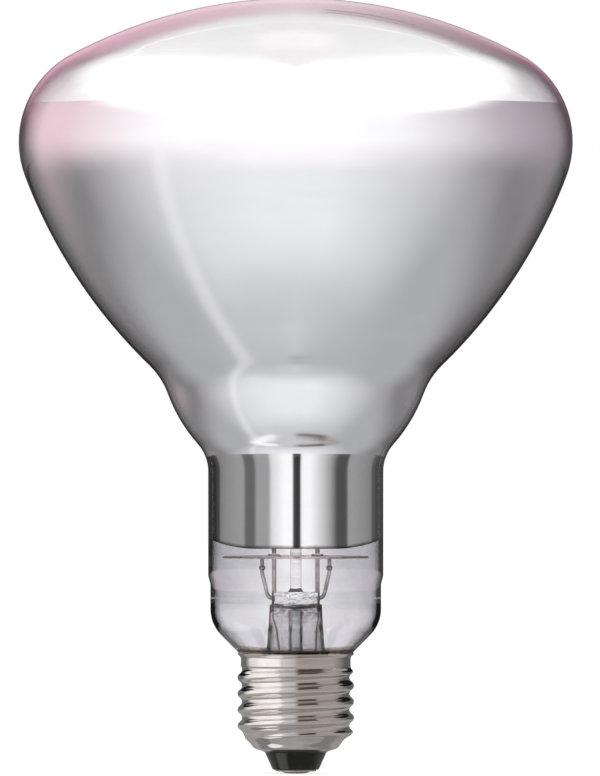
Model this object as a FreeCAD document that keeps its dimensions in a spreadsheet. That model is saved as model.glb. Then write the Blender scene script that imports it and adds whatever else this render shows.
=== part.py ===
import FreeCAD, Part

import math
import os
from collections import namedtuple

import Sketcher

# Infrared heat lamp bulb: a blown bulb with a mirrored flank, a stem with its wires, and a screw cap
# Z runs up the lamp's axis, from the tip of the solder drop under the cap to the top of the dome
# X lies across the lamp in the plane of the two leads, and Y points to the side solder at the back

doc = FreeCAD.newDocument("heat_lamp_bulb")

# Driving sizes, in millimetres and degrees
SIZES = {
    # Glass bulb
    "bulb_dia": 125.0,
    "glass_wall": 0.95,
    "dome_height": 32.4,
    "shoulder_radius": 22.3,
    "flank_height": 53.3,
    "flank_radius": 117.0,
    "waist_dia": 59.9,
    "waist_fillet": 17.0,
    "bulge_height": 21.1,
    "bulge_radius": 35.0,
    "neck_fillet": 9.4,
    "neck_dia": 39.5,
    "upper_neck_length": 23.5,
    "necking_length": 1.9,
    "lower_neck_dia": 38.5,
    "lower_neck_length": 5.6,
    "lower_shoulder_radius": 8.25,
    "cone_angle": 44.5,
    "insert_dia": 22.6,
    "insert_fillet": 2.0,
    "insert_depth": 6.7,
    "rim_clearance": 0.12,
    # Mirror film
    "film_thickness": 0.12,
    "film_clearance": 0.1,
    "film_rise": 8.3,
    "film_drop": 17.2,
    # Screw cap, standard 27 mm round thread
    "sheet_thickness": 0.3,
    "thread_dia": 26.3,
    "root_dia": 24.26,
    "thread_pitch": 3.629,
    "lip_dia": 14.1,
    "bevel_dia": 19.0,
    "bevel_height": 0.8,
    "taper_height": 3.6,
    "run_out": 0.5,
    "skirt_dia": 24.8,
    "skirt_height": 1.9,
    "flare_width": 0.8,
    # Insulator and centre contact
    "insulator_dia": 10.4,
    "insulator_height": 4.05,
    "flange_height": 3.1,
    "contact_dia": 9.2,
    "contact_thickness": 0.35,
    "eyelet_dia": 2.4,
    "eyelet_height": 2.2,
    "drop_dia": 6.8,
    "drop_flat_dia": 3.0,
    "drop_height": 0.5,
    "blob_dia": 1.9,
    # Cement between cap and glass
    "cement_height": 3.7,
    "cement_clearance": 0.05,
    # Stem
    "tube_margin": 2.4,
    "tube_spread": 1.8,
    "tube_wall": 0.75,
    "tube_height": 9.7,
    "flare_radius": 3.3,
    "pinch_height": 4.8,
    "pinch_margin": 2.0,
    "pinch_depth": 5.2,
    "pinch_floor": 0.8,
    "hollow_depth": 2.0,
    "press_height": 2.9,
    "press_margin": 1.1,
    "press_depth": 4.4,
    "exhaust_dia": 3.3,
    "exhaust_bore": 1.9,
    "exhaust_length": 24.5,
    "exhaust_clearance": 0.1,
    # Filament support
    "arbor_dia": 2.6,
    "arbor_height": 35.8,
    "button_dia": 5.6,
    "button_height": 4.0,
    "button_round": 1.3,
    "support_dia": 0.6,
    "support_grip": 1.3,
    "coil_dia": 2.0,
    "ring_dia": 29.0,
    "ring_gap_angle": 60.0,
    "grip_angle": 3.0,
    "filament_rise": 50.8,
    "loop_clearance": 0.15,
    # Leads
    "lead_spacing": 9.8,
    "inner_lead_dia": 1.0,
    "seal_dia": 0.8,
    "outer_lead_dia": 0.44,
    "bend_radius": 3.0,
    "tight_bend": 1.2,
    "exit_bend": 0.5,
    "straight_run": 1.2,
    "lead_fall": 8.6,
    "centre_lean": 1.3,
    "side_lean": 0.8,
    "side_reach": 1.2,
    "foot_rise": 3.0,
    "axis_rise": 1.5,
    "flare_gap": 2.0,
    # Heat shield
    "shield_dia": 32.8,
    "shield_thickness": 0.4,
    "shield_rise": 7.6,
    "eyelet_bore": 1.9,
    "eyelet_rim": 0.35,
    "collar_height": 0.6,
    "arbor_gap": 0.3,
    "shield_wire_dia": 0.9,
    "shield_wire_reach": 15.2,
    "shield_wire_offset": 1.1,
    "shield_wire_grip": 1.4,
    "shield_wire_bend": 4.0,
    "weld_dia": 1.5,
    "weld_drop": 2.3,
    "weld_run": 1.0,
}

SUPPORT_COUNT = 5
THREAD_TURNS = 4

# Shares of a height at which the wires start or turn
LEAD_TOP_SHARE = 0.76
KNEE_SHARE = 0.45

# Straight runs beside a bend, as shares of its radius
GRIP_RUN, BUTTON_RUN, LOOP_RUN = 1.2, 1.1, 1.5
NOTHING = 1e-9


class Size:
    """A number that keeps the sheet expression it comes from."""

    def __init__(self, number, text):
        self.number = number
        self.text = text

    def __float__(self):
        return float(self.number)

    def __add__(self, other):
        return Size(float(self) + float(other), f"({self.text} + {text_of(other)})")

    def __sub__(self, other):
        return Size(float(self) - float(other), f"({self.text} - {text_of(other)})")

    def __mul__(self, other):
        return Size(float(self) * float(other), f"({self.text} * {text_of(other)})")

    def __truediv__(self, other):
        return Size(float(self) / float(other), f"({self.text} / {text_of(other)})")


def text_of(value):
    """The expression of a size, or the digits of a plain number."""
    return value.text if isinstance(value, Size) else f"{float(value):.9f}"


def make_sheet():
    """Write the driving sizes to a sheet and return them by name."""
    sheet = doc.addObject("Spreadsheet::Sheet", "Sizes")
    sizes = {}
    for row, (name, number) in enumerate(SIZES.items(), start=1):
        sheet.set(f"A{row}", name)
        sheet.set(f"B{row}", str(number))
        sheet.setAlias(f"B{row}", name)
        sizes[name] = Size(number, f"Sizes.{name}")
    doc.recompute()
    return namedtuple("Sizes", sizes)(**sizes)


g = make_sheet()

# Outlines: each vertex holds the edge that leaves it, side 0 for a straight one,
# 1 for an arc whose centre is on the left of the way and -1 for one on the right
Vertex = namedtuple("Vertex", "r z side radius", defaults=(0, 0))
Point = namedtuple("Point", "r z")


def unit(start, end):
    """The direction from one point to another."""
    dr, dz = float(end.r) - float(start.r), float(end.z) - float(start.z)
    length = math.hypot(dr, dz)
    return Point(dr / length, dz / length)


def arc_centre(start, end):
    """The centre of the arc that leaves start for end."""
    way = unit(start, end)
    half = math.hypot(float(end.r) - float(start.r), float(end.z) - float(start.z)) / 2
    rise = math.sqrt(max(float(start.radius) ** 2 - half**2, 0)) * start.side
    middle = Point((float(start.r) + float(end.r)) / 2, (float(start.z) + float(end.z)) / 2)
    return Point(middle.r - way.z * rise, middle.z + way.r * rise)


def heading(start, end, at):
    """The direction of travel on an edge at one of its two ends."""
    if not start.side:
        return unit(start, end)
    outward = unit(arc_centre(start, end), at)
    return Point(-outward.z * start.side, outward.r * start.side)


def offset(path, distance):
    """The outline moved to the right of its way by a distance, with mitred corners."""
    moved = []
    for i, vertex in enumerate(path):
        ways = []
        if i > 0:
            ways.append(heading(path[i - 1], vertex, vertex))
        if i < len(path) - 1:
            ways.append(heading(vertex, path[i + 1], vertex))
        rights = [Point(way.z, -way.r) for way in ways]
        first, last = rights[0], rights[-1]
        share = distance / (1 + first.r * last.r + first.z * last.z)
        moved.append(
            Vertex(
                float(vertex.r) + share * (first.r + last.r),
                float(vertex.z) + share * (first.z + last.z),
                vertex.side,
                float(vertex.radius) + distance * vertex.side,
            )
        )
    return moved


def back(path):
    """The outline travelled the other way."""
    edges = [(-vertex.side, vertex.radius) for vertex in path[:-1]]
    points = path[::-1]
    turned = [Vertex(p.r, p.z, *edge) for p, edge in zip(points, edges[::-1])]
    return turned + [Vertex(points[-1].r, points[-1].z)]


def rounded(points, radii):
    """A way of straight runs with an arc at each inner point."""
    path = [Vertex(*points[0])]
    for before, corner, after, radius in zip(points, points[1:], points[2:], radii):
        way_in = unit(Point(*before), Point(*corner))
        way_out = unit(Point(*corner), Point(*after))
        cross = way_in.r * way_out.z - way_in.z * way_out.r
        turn = math.atan2(abs(cross), way_in.r * way_out.r + way_in.z * way_out.z)
        cut = float(radius) * math.tan(turn / 2)
        side = 1 if cross > 0 else -1
        start = (float(corner[0]) - cut * way_in.r, float(corner[1]) - cut * way_in.z)
        path.append(Vertex(*start, side, radius))
        path.append(Vertex(float(corner[0]) + cut * way_out.r, float(corner[1]) + cut * way_out.z))
    return path + [Vertex(*points[-1])]


# Sketches and features
def origin_plane(body, role):
    return next(item for item in body.Origin.OriginFeatures if item.Role == role)


def new_body(name):
    body = doc.addObject("PartDesign::Body", name)
    body.Label = name
    return body


def new_sketch(body, name, role="XZ_Plane", place=(0, 0, 0)):
    sketch = body.newObject("Sketcher::SketchObject", name)
    sketch.AttachmentSupport = [(origin_plane(body, role), "")]
    sketch.MapMode = "FlatFace"
    sketch.AttachmentOffset = FreeCAD.Placement(FreeCAD.Vector(*place), FreeCAD.Rotation())
    return sketch


def bind(sketch, index, value):
    """Drive a constraint from the sheet where its size comes from there."""
    if isinstance(value, Size):
        sketch.setExpression(f"Constraints[{index}]", value.text)


def hold(sketch, kind, edge, end, value):
    """Hold a point of an edge at a distance from the sketch's origin."""
    axis = -2 if kind == "DistanceX" else -1
    if abs(float(value)) < NOTHING:
        sketch.addConstraint(Sketcher.Constraint("PointOnObject", edge, end, axis))
        return
    index = sketch.addConstraint(Sketcher.Constraint(kind, -1, 1, edge, end, float(value)))
    bind(sketch, index, value)


def draw(sketch, path, closed=True):
    """Draw an outline with every vertex and radius held."""
    ends = path[1:] + path[:1] if closed else path[1:]
    previous = first = None
    for start, end in zip(path, ends):
        a = FreeCAD.Vector(float(start.r), float(start.z), 0)
        b = FreeCAD.Vector(float(end.r), float(end.z), 0)
        if start.side:
            centre = arc_centre(start, end)
            middle = FreeCAD.Vector(centre.r, centre.z, 0)
            crown = (a + b) * 0.5 - middle
            crown.normalize()
            edge = sketch.addGeometry(Part.Arc(a, middle + crown * float(start.radius), b), False)
            index = sketch.addConstraint(Sketcher.Constraint("Radius", edge, float(start.radius)))
            bind(sketch, index, start.radius)
        else:
            edge = sketch.addGeometry(Part.LineSegment(a, b), False)
        tail, head = (1, 2) if sketch.getPoint(edge, 1).distanceToPoint(a) < 1e-6 else (2, 1)
        hold(sketch, "DistanceX", edge, tail, start.r)
        hold(sketch, "DistanceY", edge, tail, start.z)
        if previous:
            sketch.addConstraint(Sketcher.Constraint("Coincident", *previous, edge, tail))
        first = first or (edge, tail)
        previous = (edge, head)
    if closed:
        sketch.addConstraint(Sketcher.Constraint("Coincident", *previous, *first))
    else:
        hold(sketch, "DistanceX", *previous, path[-1].r)
        hold(sketch, "DistanceY", *previous, path[-1].z)


def turn_outline(body, name, path):
    """Revolve a closed outline about the lamp's axis."""
    sketch = new_sketch(body, f"{name}_outline")
    draw(sketch, path)
    turned = body.newObject("PartDesign::Revolution", f"{name}_turned")
    turned.Profile = sketch
    turned.ReferenceAxis = (sketch, ["V_Axis"])
    turned.Angle = 360
    return turned


def turned_piece(name, path):
    body = new_body(name)
    turn_outline(body, name, path)
    return body


def draw_circle(sketch, diameter, x=0, y=0):
    centre = FreeCAD.Vector(float(x), float(y), 0)
    edge = sketch.addGeometry(Part.Circle(centre, FreeCAD.Vector(0, 0, 1), float(diameter) / 2), False)
    index = sketch.addConstraint(Sketcher.Constraint("Diameter", edge, float(diameter)))
    bind(sketch, index, diameter)
    hold(sketch, "DistanceX", edge, 3, x)
    hold(sketch, "DistanceY", edge, 3, y)


def draw_ellipse(sketch, width, depth):
    """A closed oval about the sketch's origin."""
    across = FreeCAD.Vector(float(width) / 2, 0, 0)
    along = FreeCAD.Vector(0, float(depth) / 2, 0)
    edge = sketch.addGeometry(Part.Ellipse(across, along, FreeCAD.Vector(0, 0, 0)), False)
    sketch.addConstraint(Sketcher.Constraint("Block", edge))


def slot_outline(width, depth):
    """A slot with round ends about the sketch's origin."""
    reach, tip, half = (width - depth) / 2, width / 2, depth / 2
    return [
        Vertex(reach * -1, half * -1),
        Vertex(reach, half * -1, 1, half),
        Vertex(tip, 0, 1, half),
        Vertex(reach, half),
        Vertex(reach * -1, half, 1, half),
        Vertex(tip * -1, 0, 1, half),
    ]


def wire_piece(name, path, diameter, foot=(0, 0), toward=None):
    """A wire bent in the upright plane that runs from its foot toward another point of the plan."""
    body = new_body(name)
    first = Point(float(path[0].r), float(path[0].z))
    if abs(first.z - float(path[1].z)) < NOTHING:
        ring = new_sketch(body, f"{name}_section", "YZ_Plane", (0, first.z, first.r))
    else:
        ring = new_sketch(body, f"{name}_section", "XY_Plane", (first.r, 0, first.z))
    draw_circle(ring, diameter)
    way = new_sketch(body, f"{name}_way")
    draw(way, path, closed=False)
    doc.recompute()
    pipe = body.newObject("PartDesign::AdditivePipe", f"{name}_pipe")
    pipe.Profile = ring
    pipe.Spine = way
    stand(body, foot, toward)
    return body


def stand(body, foot, toward):
    """Place a body's X axis on the line from its foot toward another point of the plan."""
    angle = 0
    if toward:
        angle = math.degrees(math.atan2(float(toward[1]) - float(foot[1]), float(toward[0]) - float(foot[0])))
    place = FreeCAD.Vector(float(foot[0]), float(foot[1]), 0)
    body.Placement = FreeCAD.Placement(place, FreeCAD.Rotation(FreeCAD.Vector(0, 0, 1), angle))


# Heights up the axis, each stacked on the one below
contact_z = g.drop_height
insulator_z = contact_z + g.contact_thickness
lip_z = insulator_z + g.insulator_height
bevel_z = lip_z + g.bevel_height
thread_z = bevel_z + g.taper_height
thread_end_z = thread_z + g.thread_pitch * THREAD_TURNS
skirt_z = thread_end_z + g.run_out
flare_z = skirt_z + g.skirt_height
rim_z = flare_z + g.flare_width


# Cap shell: drawn from one sheet, its rolled thread shown as rings of the thread's own section
def shell_outline():
    """The outside of the shell, from the lip up to the rim."""
    crest, root, pitch = g.thread_dia / 2, g.root_dia / 2, g.thread_pitch
    slope = 2 * math.atan(2 * (float(crest) - float(root)) / float(pitch))
    roll_radius = float(pitch) / 4 / math.sin(slope)
    middle = (crest + root) / 2
    path = [
        Vertex(g.lip_dia / 2, lip_z),
        Vertex(g.bevel_dia / 2, bevel_z),
        Vertex(root, thread_z, -1, roll_radius),
    ]
    for ring in range(THREAD_TURNS):
        foot = thread_z + pitch * (ring + 0.25)
        path.append(Vertex(middle, foot, 1, roll_radius))
        path.append(Vertex(middle, foot + pitch / 2, -1, roll_radius))
    return path + [
        Vertex(root, thread_end_z),
        Vertex(g.skirt_dia / 2, skirt_z),
        Vertex(g.skirt_dia / 2, flare_z),
        Vertex(g.skirt_dia / 2 + g.flare_width, rim_z),
    ]


shell_outer = shell_outline()
shell_inner = offset(shell_outer, -float(g.sheet_thickness))
shell_blank = turned_piece("shell_blank", shell_outer + back(shell_inner))
shell_core = turned_piece("shell_core", shell_outer + [Vertex(0, rim_z), Vertex(0, lip_z)])


# Glass bulb
def meet(centre_a, radius_a, centre_b, radius_b, side):
    """Where two circles cross, on the left (1) or right (-1) of the line from a to b."""
    way = unit(centre_a, centre_b)
    gap = math.hypot(centre_b.r - centre_a.r, centre_b.z - centre_a.z)
    along = (gap**2 + radius_a**2 - radius_b**2) / (2 * gap)
    aside = side * math.sqrt(radius_a**2 - along**2)
    return Point(centre_a.r + along * way.r - aside * way.z, centre_a.z + along * way.z + aside * way.r)


def towards(start, through, distance):
    """The point at a distance from start on the line through another point."""
    way = unit(start, through)
    return Point(start.r + way.r * distance, start.z + way.z * distance)


cone = math.radians(SIZES["cone_angle"])
cone_seat = Point(shell_inner[-1].r - float(g.rim_clearance), shell_inner[-1].z)
insert_radius = g.insert_dia / 2
lower_radius = g.lower_neck_dia / 2
neck_radius = g.neck_dia / 2


def cone_height(radius):
    """Where the cone above the rim has a radius."""
    return cone_seat.z + (float(radius) - cone_seat.r) / math.tan(cone)


shoulder_cut = float(g.lower_shoulder_radius) * math.tan(cone / 2)
insert_cut = float(g.insert_fillet) * math.tan(cone / 2)
insert_top_z = cone_height(insert_radius) - insert_cut
seal_z = rim_z - g.insert_depth
neck_base_z = cone_height(lower_radius) + shoulder_cut
necking_z = neck_base_z + float(g.lower_neck_length)
upper_neck_z = necking_z + float(g.necking_length)
neck_top_z = upper_neck_z + float(g.upper_neck_length)
waist_z = neck_top_z + float(g.bulge_height)
equator_z = waist_z + float(g.flank_height)
apex_z = equator_z + float(g.dome_height)


def glass_outline():
    """The outside of the glass, from the top of the dome down into the cap."""
    shoulder, flank = float(g.shoulder_radius), float(g.flank_radius)
    waist, bulge, neck = float(g.waist_fillet), float(g.bulge_radius), float(g.neck_fillet)
    shoulder_centre = Point(float(g.bulb_dia) / 2 - shoulder, equator_z)
    crown = float(g.dome_height) - shoulder
    drop = (shoulder_centre.r**2 - crown**2) / (2 * crown)
    dome_centre = Point(0, equator_z - drop)
    dome = float(g.dome_height) + drop
    corner = Point(float(g.waist_dia) / 2, waist_z)
    flank_centre = meet(shoulder_centre, flank - shoulder, corner, flank, -1)
    neck_centre = Point(float(neck_radius) + neck, neck_top_z)
    bulge_centre = meet(corner, bulge, neck_centre, bulge + neck, -1)
    waist_centre = meet(flank_centre, flank + waist, bulge_centre, bulge + waist, 1)
    dome_end = towards(dome_centre, shoulder_centre, dome)
    shoulder_end = towards(flank_centre, shoulder_centre, flank)
    flank_end = towards(flank_centre, waist_centre, flank)
    bulge_start = towards(bulge_centre, waist_centre, bulge)
    bulge_end = towards(bulge_centre, neck_centre, bulge)
    corner_z = cone_height(lower_radius)
    return [
        Vertex(0, apex_z, -1, dome),
        Vertex(*dome_end, -1, g.shoulder_radius),
        Vertex(*shoulder_end, -1, g.flank_radius),
        Vertex(*flank_end, 1, g.waist_fillet),
        Vertex(*bulge_start, -1, g.bulge_radius),
        Vertex(*bulge_end, 1, g.neck_fillet),
        Vertex(neck_radius, neck_top_z),
        Vertex(neck_radius, upper_neck_z),
        Vertex(lower_radius, necking_z),
        Vertex(lower_radius, neck_base_z, -1, g.lower_shoulder_radius),
        Vertex(float(lower_radius) - shoulder_cut * math.sin(cone), corner_z - shoulder_cut * math.cos(cone)),
        Vertex(
            float(insert_radius) + insert_cut * math.sin(cone),
            cone_height(insert_radius) + insert_cut * math.cos(cone),
            1,
            g.insert_fillet,
        ),
        Vertex(insert_radius, insert_top_z),
        Vertex(insert_radius, seal_z),
    ]


glass_outer = glass_outline()
glass_inner = offset(glass_outer, float(g.glass_wall))
glass_bulb = turned_piece("glass_bulb", glass_outer + back(glass_inner))


# Mirror film on the inside of the flank and the upper neck
def film_outline():
    """The face that the film shares with the glass, from its upper to its lower edge."""
    shoulder = float(g.shoulder_radius) - float(g.glass_wall)
    rise = float(g.film_rise)
    start_r = float(g.bulb_dia) / 2 - float(g.shoulder_radius) + math.sqrt(shoulder**2 - rise**2)
    start = Vertex(start_r, equator_z + rise, -1, shoulder)
    return [start] + glass_inner[2:7] + [Vertex(glass_inner[6].r, neck_top_z - float(g.film_drop))]


film_outer = offset(film_outline(), float(g.film_clearance))
film_inner = offset(film_outer, float(g.film_thickness))
mirror_film = turned_piece("mirror_film", film_outer + back(film_inner))


# Insulator, centre contact and its solder drop
flange_z = lip_z + g.flange_height
bore_radius = g.eyelet_dia / 2
lead_radius = g.outer_lead_dia / 2
taper_share = (float(flange_z) - shell_inner[1].z) / (shell_inner[2].z - shell_inner[1].z)
flange_r = shell_inner[1].r + taper_share * (shell_inner[2].r - shell_inner[1].r)
cap_insulator = turned_piece(
    "cap_insulator",
    [
        Vertex(bore_radius, insulator_z),
        Vertex(g.insulator_dia / 2, insulator_z),
        Vertex(g.lip_dia / 2, lip_z),
        Vertex(shell_inner[0].r, shell_inner[0].z),
        Vertex(shell_inner[1].r, shell_inner[1].z),
        Vertex(flange_r, flange_z),
        Vertex(bore_radius, flange_z),
    ],
)
centre_contact = turned_piece(
    "centre_contact",
    [
        Vertex(lead_radius, contact_z),
        Vertex(g.contact_dia / 2, contact_z),
        Vertex(g.contact_dia / 2, insulator_z),
        Vertex(bore_radius, insulator_z),
        Vertex(bore_radius, insulator_z + g.eyelet_height),
        Vertex(lead_radius, insulator_z + g.eyelet_height),
    ],
)
drop_radius = g.drop_dia / 2
flat_radius = g.drop_flat_dia / 2
drop_side = drop_radius - flat_radius
drop_curve = (drop_side * drop_side + g.drop_height * g.drop_height) / (g.drop_height * 2)
centre_solder = turned_piece(
    "centre_solder",
    [
        Vertex(0, 0),
        Vertex(flat_radius, 0, 1, drop_curve),
        Vertex(drop_radius, contact_z),
        Vertex(0, contact_z),
    ],
)

# Stem: flare, tube, pinch and press, blown from one piece of tube
tube_top_z = seal_z + g.flare_radius + g.tube_height
pinch_z = tube_top_z + g.pinch_height
press_z = pinch_z + g.press_height
hollow_z = pinch_z - g.pinch_floor
tube_top_dia = g.lead_spacing + g.tube_margin
tube_top_r = tube_top_dia / 2
tube_foot_r = (tube_top_dia + g.tube_spread) / 2
pinch_width = g.lead_spacing + g.pinch_margin
press_width = g.lead_spacing + g.press_margin
stem_outer = [
    Vertex(tube_top_r, tube_top_z),
    Vertex(tube_foot_r, seal_z + g.flare_radius, 1, g.flare_radius),
    Vertex(tube_foot_r + g.flare_radius, seal_z),
    Vertex(insert_radius, seal_z),
]
stem_inner = [Vertex(tube_top_r - g.tube_wall, tube_top_z)] + offset(stem_outer, float(g.tube_wall))[1:]
stem_blank = turned_piece("stem_blank", stem_outer + back(stem_inner))


def loft_between(kind, name, lower, upper):
    """Join two sections of the stem's body by a loft that adds or cuts."""
    loft = stem_blank.newObject(kind, name)
    loft.Profile = lower
    loft.Sections = [upper]
    return loft


def stem_section(name, height):
    return new_sketch(stem_blank, name, "XY_Plane", (0, 0, float(height)))


pinch_foot = stem_section("pinch_foot", tube_top_z)
draw_ellipse(pinch_foot, tube_top_dia, tube_top_dia)
pinch_head = stem_section("pinch_head", pinch_z)
draw_ellipse(pinch_head, pinch_width, g.pinch_depth)
hollow_width = float(tube_top_dia) - 2 * float(g.tube_wall)
hollow_foot = stem_section("hollow_foot", tube_top_z)
draw_ellipse(hollow_foot, hollow_width, hollow_width)
hollow_head = stem_section("hollow_head", hollow_z)
draw_ellipse(hollow_head, hollow_width, g.hollow_depth)
press_slot = stem_section("press_slot", pinch_z)
draw(press_slot, slot_outline(press_width, g.press_depth))
doc.recompute()
loft_between("PartDesign::AdditiveLoft", "pinch", pinch_foot, pinch_head)
doc.recompute()
loft_between("PartDesign::SubtractiveLoft", "hollow", hollow_foot, hollow_head)
doc.recompute()
press = stem_blank.newObject("PartDesign::Pad", "press")
press.Profile = press_slot
press.setExpression("Length", g.press_height.text)

# Leads: seal wires in the press, inner leads above it and outer leads below it
lead_x = g.lead_spacing / 2
lead_top_z = float(tube_top_z) + LEAD_TOP_SHARE * (float(hollow_z) - float(tube_top_z))
ring_radius = float(g.ring_dia) / 2
ring_z = float(press_z) + float(g.filament_rise)
ring_half_gap = float(g.ring_gap_angle) / 2
grip_margin = float(g.grip_angle)


def on_ring(angle):
    """A point of the filament's ring in the plan."""
    return (ring_radius * math.cos(math.radians(angle)), ring_radius * math.sin(math.radians(angle)))


def looped(points, radii, diameter):
    """A bent wire whose end goes three quarters of the way round the filament, above its last point."""
    reach, height = points[-1]
    radius = float(g.coil_dia) / 2 + float(g.loop_clearance) + float(diameter) / 2
    end = (reach, height - radius)
    level = (points[-2][0], height - radius)
    path = rounded(points[:-2] + [level, end], radii)
    return path[:-1] + [
        Vertex(reach, height - radius, 1, radius),
        Vertex(reach + radius, height, 1, radius),
        Vertex(reach, height + radius, 1, radius),
        Vertex(reach - radius, height),
    ]


def inner_lead(name, side, grip_angle):
    """A lead that stands on the press, passes the heat shield and holds one end of the filament."""
    foot = (float(lead_x) * side, 0)
    grip = on_ring(grip_angle)
    reach = math.hypot(grip[0] - foot[0], grip[1] - foot[1])
    bend = float(g.bend_radius)
    knee_z = float(press_z) + float(g.filament_rise) * KNEE_SHARE
    points = [(0, float(press_z)), (0, knee_z), (reach - GRIP_RUN * bend, ring_z), (reach, ring_z)]
    return wire_piece(name, looped(points, [bend, bend], g.inner_lead_dia), g.inner_lead_dia, foot, grip)


def seal_wire(name, side):
    path = [Vertex(0, lead_top_z), Vertex(0, press_z)]
    return wire_piece(name, path, g.seal_dia, (float(lead_x) * side, 0))


inner_leads = [
    inner_lead("inner_lead_left", -1, 270 - ring_half_gap - grip_margin),
    inner_lead("inner_lead_right", 1, ring_half_gap + grip_margin - 90),
]
seal_wires = [seal_wire("seal_wire_left", -1), seal_wire("seal_wire_right", 1)]

# The left outer lead runs down the axis to the centre contact
exhaust_foot_z = lead_top_z - float(g.exhaust_length)
lead_drop_z = lead_top_z - float(g.straight_run)
lead_fall_z = lead_top_z - float(g.lead_fall)
centre_points = [
    (lead_x, lead_top_z),
    (lead_x, lead_drop_z),
    (lead_x - g.centre_lean, lead_fall_z),
    (g.exhaust_dia, exhaust_foot_z + float(g.foot_rise)),
    (0, flange_z + g.axis_rise),
    (0, float(contact_z)),
]
outer_lead_centre = wire_piece(
    "outer_lead_centre", rounded(centre_points, [g.bend_radius] * 4), g.outer_lead_dia, (0, 0), (-1, 0)
)

# The right outer lead turns under the flare, climbs between glass and shell and leaves through the skirt
lane_radius = (float(insert_radius) + float(g.root_dia) / 2 - float(g.sheet_thickness)) / 2
side_foot = (float(lead_x), 0)
lane = (0, lane_radius)
lane_reach = math.hypot(float(lead_x), lane_radius)
lean = -(float(lead_x) ** 2) / lane_reach
exit_radius = float(g.skirt_dia) / 2 - float(g.sheet_thickness) / 3
exit_reach = -lean + math.sqrt(lean**2 - float(lead_x) ** 2 + exit_radius**2)
exit_z = (float(skirt_z) + float(flare_z)) / 2
under_z = float(seal_z) - float(g.tube_wall) - float(g.flare_gap)
side_points = [
    (0, lead_top_z),
    (0, lead_drop_z),
    (g.side_lean, lead_fall_z),
    (g.side_reach, under_z),
    (lane_reach, under_z),
    (lane_reach, exit_z),
    (exit_reach, exit_z),
]
outer_lead_side = wire_piece(
    "outer_lead_side",
    rounded(side_points, [g.bend_radius, g.bend_radius, g.tight_bend, g.tight_bend, g.exit_bend]),
    g.outer_lead_dia,
    side_foot,
    lane,
)

# Exhaust tube, sealed off at its foot
exhaust_r = g.exhaust_dia / 2
exhaust_bore_r = g.exhaust_bore / 2
seat_width = float(g.exhaust_dia) + float(g.exhaust_clearance)
exhaust_seat = (hollow_width - seat_width) / (hollow_width - float(g.hollow_depth))
exhaust_top_z = float(tube_top_z) + exhaust_seat * (float(hollow_z) - float(tube_top_z))
exhaust_round_z = exhaust_foot_z + float(exhaust_r)
exhaust_tube = turned_piece(
    "exhaust_tube",
    [
        Vertex(exhaust_bore_r, exhaust_top_z),
        Vertex(exhaust_r, exhaust_top_z),
        Vertex(exhaust_r, exhaust_round_z, -1, exhaust_r),
        Vertex(0, exhaust_foot_z),
        Vertex(0, exhaust_round_z - float(exhaust_bore_r), 1, exhaust_bore_r),
        Vertex(exhaust_bore_r, exhaust_round_z),
    ],
)

# Arbor rod with its button
arbor_r = g.arbor_dia / 2
button_r = g.button_dia / 2
button_half = float(g.button_height) / 2
button_z = float(press_z) + float(g.arbor_height)
round_r = g.button_round
arbor_blank = turned_piece(
    "arbor_blank",
    [
        Vertex(0, press_z),
        Vertex(arbor_r, press_z),
        Vertex(arbor_r, button_z - button_half),
        Vertex(button_r - round_r, button_z - button_half, 1, round_r),
        Vertex(button_r, button_z - button_half + float(round_r)),
        Vertex(button_r, button_z + button_half - float(round_r), 1, round_r),
        Vertex(button_r - round_r, button_z + button_half),
        Vertex(0, button_z + button_half),
    ],
)


# Support wires, spread evenly between the two leads
def support_wire(number):
    step = (360 - 2 * ring_half_gap - 2 * grip_margin) / (SUPPORT_COUNT + 1)
    angle = ring_half_gap + grip_margin - 90 + step * number
    bend = float(g.bend_radius)
    points = [
        (float(button_r) - float(g.support_grip), button_z),
        (float(button_r) + BUTTON_RUN * bend, button_z),
        (ring_radius - LOOP_RUN * bend, ring_z),
        (ring_radius, ring_z),
    ]
    path = looped(points, [bend, bend], g.support_dia)
    return wire_piece(f"support_wire_{number}", path, g.support_dia, (0, 0), on_ring(angle))


support_wires = [support_wire(number + 1) for number in range(SUPPORT_COUNT)]

# Filament: the outer form of the coil, bent to an open ring
filament = new_body("filament")
coil_section = new_sketch(filament, "coil_section")
draw_circle(coil_section, g.coil_dia, ring_radius, ring_z)
coil = filament.newObject("PartDesign::Revolution", "coil")
coil.Profile = coil_section
coil.ReferenceAxis = (coil_section, ["V_Axis"])
coil.Angle = 360 - 2 * ring_half_gap
stand(filament, (0, 0), on_ring(ring_half_gap - 90))

# Heat shield with an eyelet round each lead
shield_z = press_z + g.shield_rise
shield_top_z = shield_z + g.shield_thickness
heat_shield = turned_piece(
    "heat_shield",
    [
        Vertex(arbor_r + g.arbor_gap, shield_z),
        Vertex(g.shield_dia / 2, shield_z),
        Vertex(g.shield_dia / 2, shield_top_z),
        Vertex(arbor_r + g.arbor_gap, shield_top_z),
    ],
)
collar_sketch = new_sketch(heat_shield, "collar_sketch", "XY_Plane", (0, 0, float(shield_top_z)))
draw_circle(collar_sketch, g.eyelet_bore + g.eyelet_rim * 2, lead_x)
collar = heat_shield.newObject("PartDesign::Pad", "collar")
collar.Profile = collar_sketch
collar.setExpression("Length", g.collar_height.text)
bore_sketch = new_sketch(
    heat_shield, "bore_sketch", "XY_Plane", (0, 0, float(shield_top_z) + float(g.collar_height))
)
draw_circle(bore_sketch, g.eyelet_bore, lead_x)
bore = heat_shield.newObject("PartDesign::Pocket", "bore")
bore.Profile = bore_sketch
bore.setExpression("Length", (g.collar_height + g.shield_thickness * 2).text)
doc.recompute()
plain_volume = heat_shield.Shape.Volume
eyelets = heat_shield.newObject("PartDesign::PolarPattern", "eyelets")
eyelets.Originals = [collar, bore]
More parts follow.
